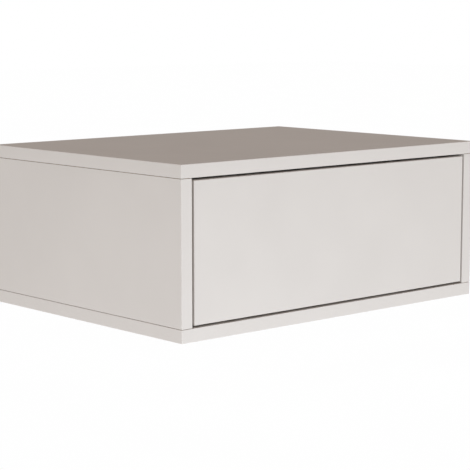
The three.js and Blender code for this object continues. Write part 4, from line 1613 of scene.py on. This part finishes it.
# %% Cabinet member
cabinet_lip = 3.8 * mm
cabinet_track = 2.8 * mm
cabinet_node = "right_runner_cabinet_member"
outer_low, outer_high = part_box(cabinet_node)
outer = add_channel(cabinet_node, channel_line(outer_low, outer_high, cabinet_lip), cabinet_track)
carve(outer, *[steel_hole(f"runner_cabinet_screw_right_{row}", -x_way) for row in rows])
cabinet_slots = [
    (from_ends(cabinet_node, 12 * mm), 4.5 * mm, 4.5 * mm),
    (about_middle(cabinet_node, 84 * mm), 5 * mm, 12 * mm),
    (about_middle(cabinet_node, 0, 48 * mm), 26 * mm, 16 * mm),
]
punch(outer, outer_high.x, cabinet_slots)
both_hands(outer, "runner_cabinet_member")
print("cabinet member:", len(outer.data.polygons), "faces")

# %% [markdown]
# The middle member runs between the other two, with balls outside it and inside it. It is a smaller
# channel of the same kind, so it takes the same steps, with its own lip, tracks and slots.

# %% Middle member
middle_lip = 2.5 * mm
middle_track = 2.0 * mm
middle_node = "right_runner_middle_member"
inner_low, inner_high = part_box(middle_node)
inner = add_channel(middle_node, channel_line(inner_low, inner_high, middle_lip), middle_track)
middle_slots = [
    (from_ends(middle_node, 20 * mm), 12 * mm, 6 * mm),
    (about_middle(middle_node, 70 * mm), 7 * mm, 7 * mm),
]
punch(inner, inner_high.x, middle_slots)
both_hands(inner, "runner_middle_member")
print("middle member:", len(inner.data.polygons), "faces")

# %% [markdown]
# The drawer member is screwed to the drawer's side. Its flanges have no lips, so that it can slide out
# of the balls once the lever lets it go. The lever turns on a pin that is riveted to the web. The pin
# could stay a rod of its own, but a rivet and its web are one piece, so it is welded on.

# %% Drawer member
drawer_track = 1.8 * mm
lever_pin_radius = 2 * mm
lever_pin_length = 3.6 * mm
lever_pin_bevel = 0.3 * mm
drawer_node = "right_runner_drawer_member"
drawer_low, drawer_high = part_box(drawer_node)
drawer_line = [
    (drawer_high.x, drawer_low.y, drawer_high.z),
    (drawer_low.x, drawer_low.y, drawer_high.z),
    (drawer_low.x, drawer_low.y, drawer_low.z),
    (drawer_high.x, drawer_low.y, drawer_low.z),
]
drawer_member = add_channel(drawer_node, drawer_line, drawer_track)
carve(drawer_member, *[steel_hole(f"runner_drawer_screw_right_{row}", x_way) for row in rows])
drawer_slots = [
    (about_middle(drawer_node, 52 * mm), 4.5 * mm, 9 * mm),
    (from_ends(drawer_node, 16 * mm), 9 * mm, 4.5 * mm),
]
punch(drawer_member, drawer_low.x, drawer_slots)
lever_centre = middle("right_release_lever")
pin_place = (drawer_low.x + runner_gauge / 2, lever_centre.y, middle(drawer_node).z)
lever_pin = add_rod(pin_place, x_way, lever_pin_radius, lever_pin_length)
soften(lever_pin, lever_pin_bevel, is_sharp)
weld(drawer_member, paint(lever_pin, plating))
both_hands(drawer_member, "runner_drawer_member")
print("drawer member:", len(drawer_member.data.polygons), "faces")

# %% [markdown]
# A cage keeps the balls apart. It is thin strip bent over the rows, and each ball sits in a hole of
# the strip, proud on both sides. One ball is made and copied along both rows, and the rows are welded
# into the strip, which gives each ball its seat.

# %% Ball cages
cage_gauge = 0.6 * mm
cage_bend = 1.2 * mm
balls_in_a_row = 8
ball_segments, ball_rings = 20, 12
window_depth = 4 * mm
window_length = 22 * mm
window_height_share = 0.5
window_spacing = 42 * mm


def add_balls(low, high, radius):
    """Two rows of balls, copied from one."""
    clear_selection()
    pitch = (high.y - low.y) / balls_in_a_row
    first = (low.x + radius, low.y + pitch / 2, high.z - radius)
    bpy.ops.mesh.primitive_uv_sphere_add(
        segments=ball_segments,
        ring_count=ball_rings,
        radius=radius,
        location=first,
    )
    ball = keep_place()
    balls = [ball]
    for n in range(1, 2 * balls_in_a_row):
        take(ball)
        bpy.ops.object.duplicate(linked=False)
        drop_by = (high.z - low.z - 2 * radius) if n % 2 else 0
        bpy.ops.transform.translate(value=(0, (n // 2) * pitch, -drop_by))
        balls.append(keep_place())
    clear_selection()
    for piece in balls:
        piece.select_set(True)
    bpy.context.view_layer.objects.active = ball
    bpy.ops.object.join()
    return paint(bpy.context.object, polished)


def add_cage(node, radius):
    """A cage's strip with its balls, in a node's box."""
    low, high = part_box(node)
    top, foot = high.z - radius + cage_gauge / 2, low.z + radius - cage_gauge / 2
    line = [(x, low.y, z) for x, z in ((low.x, top), (high.x, top), (high.x, foot), (low.x, foot))]
    centre = (low + high) / 2
    cage = add_strip(line, (0, high.y - low.y, 0), cage_gauge, cage_bend, centre)
    paint(cage, cage_strip)
    window = Vector((window_depth, window_length, window_height_share * (top - foot)))
    places = [centre.y + step * window_spacing for step in (-1, 0, 1)]
    carve(cage, *[slot_cutter((high.x, y, centre.z), window, X, cage_strip) for y in places])
    return weld(cage, add_balls(low, high, radius))


for node, ball_radius in {"outer_ball_cage": 2.2 * mm, "inner_ball_cage": 1.8 * mm}.items():
    cage = add_cage(f"right_{node}", ball_radius)
    both_hands(cage, node)
    print(f"{node}: {len(cage.data.polygons)} faces")

# %% [markdown]
# The release lever is a flat moulding on a pin. Its hooked nose holds the drawer member to the middle
# one, and a press on its front end lets the drawer come out. Its outline is drawn, pushed out to a
# plate and rounded all over, and the finger's end gets a few fine grooves, so that it doesn't slip.

# %% Release levers
lever_low, lever_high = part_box("right_release_lever")
lever_thickness = lever_high.x - lever_low.x
lever_axis = pin_place[Z]
# The outline in millimetres from the pin, towards the rear and up.
lever_outline = [
    (-23, 3),
    (18, 3),
    (23, 1),
    (23, -3),
    (18, -5),
    (13, -3),
    (-23, -3),
]
corner_radius = 1.2 * mm
corner_steps = 4
lever_radius = 0.35 * mm
lever_hole = 2.3 * mm
lever_line = [(lever_low.x, lever_centre.y + y * mm, lever_axis + z * mm) for y, z in lever_outline]
lever = add_plate(lever_line, (lever_thickness, 0, 0))
soften(lever, corner_radius, lambda edge: runs_along(edge, X), corner_steps)
soften(lever, lever_radius, is_sharp)
hole_start = (lever_low.x - overrun, lever_centre.y, lever_axis)
carve(lever, add_rod(hole_start, x_way, lever_hole, lever_thickness + 2 * overrun))

grip_count = 6
first_grip = 2.5 * mm
grip_pitch = 1.6 * mm
grip_size = (0.7 * mm, 0.7 * mm, 4.2 * mm)
for n in range(grip_count):
    grip_place = (lever_high.x, lever_low.y + first_grip + n * grip_pitch, lever_axis)
    carve(lever, slot_cutter(grip_place, grip_size, X, black_pom))
paint(lever, black_pom)
both_hands(lever, "release_lever")
print(f"release lever: {len(lever.data.polygons)} faces")

# %% [markdown]
# The push latch stands on the cabinet's floor. Its housing is moulded in one, a bored body with two
# screw ears, and in it a spring drives a plunger that throws the drawer out. Body and ears are made
# as blocks, because each is rounded in its own way, and are then welded to one skin.

# %% Latch housing and its screw ears
latch_low, latch_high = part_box("latch_housing")
latch_middle = (latch_low.y + latch_high.y) / 2
bore_line = middle("latch_plunger")
body_half = 8 * mm
body_rounding = 3 * mm
ear_height = 3 * mm
ear_length = 24 * mm
ear_rounding = 5 * mm
rounding_steps = 6
moulded_radius = 0.5 * mm


def on_upper_edge(edge):
    """Whether an edge is one of the body's two long upper ones."""
    return runs_along(edge, Y) and edge.verts[0].co.z > bore_line.z


body = add_block((-body_half, latch_low.y, latch_low.z), (body_half, latch_high.y, latch_high.z))
soften(body, body_rounding, on_upper_edge, rounding_steps)
soften(body, moulded_radius, is_sharp)
ear_low = (latch_low.x, latch_middle - ear_length / 2, latch_low.z)
ears = add_block(ear_low, (latch_high.x, latch_middle + ear_length / 2, latch_low.z + ear_height))
soften(ears, ear_rounding, lambda edge: runs_along(edge, Z), rounding_steps)
soften(ears, moulded_radius, is_sharp)
weld(body, ears)
print(f"latch body: {1000 * (latch_high.y - latch_low.y):.0f} mm long")

# %% [markdown]
# Four gussets stiffen the ears against the spring's push. Each is a triangle that is pushed out to a
# plate, and its root stands a little inside the body, so that the weld has no gap. The bore is cut
# after the welding, and its mouth is opened by a cone, which guides the plunger.

# %% Gussets, bore and screw holes
gusset_thickness = 1.2 * mm
gusset_offset = 5.5 * mm
gusset_reach = body_half + 3.5 * mm
gusset_root = body_half - 1 * mm
gusset_foot = latch_low.z + ear_height - 0.5 * mm
gusset_top = latch_low.z + 9 * mm
for sign in (1, -1):
    for y in (latch_middle - gusset_offset, latch_middle + gusset_offset):
        corners = [(gusset_root, gusset_foot), (gusset_reach, gusset_foot), (gusset_root, gusset_top)]
        outline = [(sign * x, y, z) for x, z in corners]
        weld(body, add_plate(outline, (0, gusset_thickness, 0)))

bore_radius = 4.3 * mm
bore_floor = 2.5 * mm
bore_start = (0, latch_low.y - overrun, bore_line.z)
bore_length = latch_high.y - latch_low.y - bore_floor + overrun
carve(body, add_rod(bore_start, y_way, bore_radius, bore_length, sides=fine_sides))

mouth_reach = 1 * mm
mouth_inside = bore_radius - 0.2 * mm
mouth_outside = bore_radius + 1.8 * mm
mouth_profile = [
    (0, -mouth_reach),
    (mouth_inside, -mouth_reach),
    (mouth_outside, mouth_reach),
    (0, mouth_reach),
]
mouth = add_turned(mouth_profile)
carve(body, copy_to(mouth, (0, latch_low.y, bore_line.z), -y_way))
drop(mouth)
for hand in hands:
    screw = middle(f"latch_screw_{hand}")
    start = (screw.x, screw.y, latch_low.z - overrun)
    carve(body, add_rod(start, z_way, latch_shank + cut_room, ear_height + 2 * overrun))
hand_over(paint(body, white_pom), "latch_housing")
print(f"latch housing: {len(body.data.polygons)} faces")

# %% [markdown]
# The plunger is a round rod that slides in the bore. It has a pin at its front for the rubber tip and
# two shallow grooves round it. All of that is one profile, spun round the axis: a groove costs four
# points of it, where a cut would need a ring for a cutter. The tip and the spring lie on the same line
# as the plunger, so one helper lays all three along the bore.

# %% Latch plunger


def lay_in_bore(model, front_y, finish, node, stretches_to=None):
    """A piece that was made upright, laid back along the bore's line from its front end."""
    piece = copy_to(model, (0, front_y, bore_line.z), y_way)
    drop(model)
    hand_over(paint(piece, finish), node, stretches_to)


plunger_low, plunger_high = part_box("latch_plunger")
plunger_radius = (plunger_high.x - plunger_low.x) / 2
plunger_length = plunger_high.y - plunger_low.y
pin_radius = 1.5 * mm
pin_length = 2 * mm
pin_bevel = 0.2 * mm
shoulder_bevel = 0.4 * mm
end_bevel = 0.6 * mm
groove_places = (8 * mm, 46 * mm)
groove_width = 1.8 * mm
groove_depth = 0.3 * mm
plunger_profile = [
    (0, 0),
    (pin_radius - pin_bevel, 0),
    (pin_radius, pin_bevel),
    (pin_radius, pin_length),
    (plunger_radius - shoulder_bevel, pin_length),
    (plunger_radius, pin_length + shoulder_bevel),
]
for start in groove_places:
    plunger_profile += [
        (plunger_radius, start),
        (plunger_radius - groove_depth, start + groove_depth),
        (plunger_radius - groove_depth, start + groove_width - groove_depth),
        (plunger_radius, start + groove_width),
    ]
plunger_profile += [
    (plunger_radius, plunger_length - end_bevel),
    (plunger_radius - end_bevel, plunger_length),
    (0, plunger_length),
]
plunger = add_turned(plunger_profile, sides=fine_sides)
lay_in_bore(plunger, plunger_low.y, white_pom, "latch_plunger")
print(f"plunger: {1000 * plunger_length:.0f} mm long, {2000 * plunger_radius:.1f} mm thick")

# %% [markdown]
# The tip is soft rubber, pushed over the plunger's pin. Its nose is round, and its socket is a little
# wider and deeper than the pin. A profile can turn back into itself, so the nose, the wall and the
# hollow socket are spun together.

# %% Latch tip
tip_low, tip_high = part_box("latch_tip")
tip_length = tip_high.y - tip_low.y
tip_bevel = 0.2 * mm
socket_radius = pin_radius + 0.15 * mm
socket_floor = tip_length - pin_length - 0.1 * mm
# The round nose in millimetres: how far inside the rim, and how far back.
nose = ((1.6, 0), (0.8, 0.2), (0.2, 0.8), (0, 1.6))
tip_profile = [
    (0, 0),
    *[(plunger_radius - inside * mm, back * mm) for inside, back in nose],
    (plunger_radius, tip_length - tip_bevel),
    (plunger_radius - tip_bevel, tip_length),
    (socket_radius, tip_length),
    (socket_radius, socket_floor),
    (0, socket_floor),
]
tip = add_turned(tip_profile, sides=fine_sides)
lay_in_bore(tip, tip_low.y, rubber, "latch_tip")
print(f"rubber tip: {1000 * tip_length:.0f} mm long")

# %% [markdown]
# The spring is wire, wound in nine turns. A curve could draw it too, and would then have to be made a
# mesh. Here a circle of the wire's size stands beside the axis, a Screw modifier winds it up, and the two
# open ends are filled. In the latch it is the one piece that changes its length as the drawer moves, but
# here it keeps one length.

# %% Latch spring
spring_low, spring_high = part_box("latch_spring")
wire_radius = 0.4 * mm
wire_sides = 12
spring_turns = 9
coil_radius = 3.2 * mm
coil_length = spring_high.y - spring_low.y - 2 * wire_radius
steps_in_a_turn = 32
clear_selection()
bpy.ops.mesh.primitive_circle_add(
    vertices=wire_sides,
    radius=wire_radius,
    location=(coil_radius, 0, 0),
    rotation=(math.pi / 2, 0, 0),
)
coil = keep_place()
apply_modifier(
    coil,
    "SCREW",
    axis="Z",
    iterations=spring_turns,
    screw_offset=coil_length / spring_turns,
    steps=steps_in_a_turn,
    render_steps=steps_in_a_turn,
)
open_with(coil, "EDGE", lambda edge: len(edge.link_faces) == 1)
bpy.ops.mesh.fill_holes(sides=0)
close()
face_outwards(coil)
spring_ends = [(0, y, bore_line.z) for y in (spring_high.y, spring_low.y)]
stretch = (body_of["latch_plunger"], *spring_ends)
lay_in_bore(coil, spring_low.y + wire_radius, spring_wire, "latch_spring", stretch)
print(f"spring: {spring_turns} turns over {1000 * coil_length:.0f} mm")
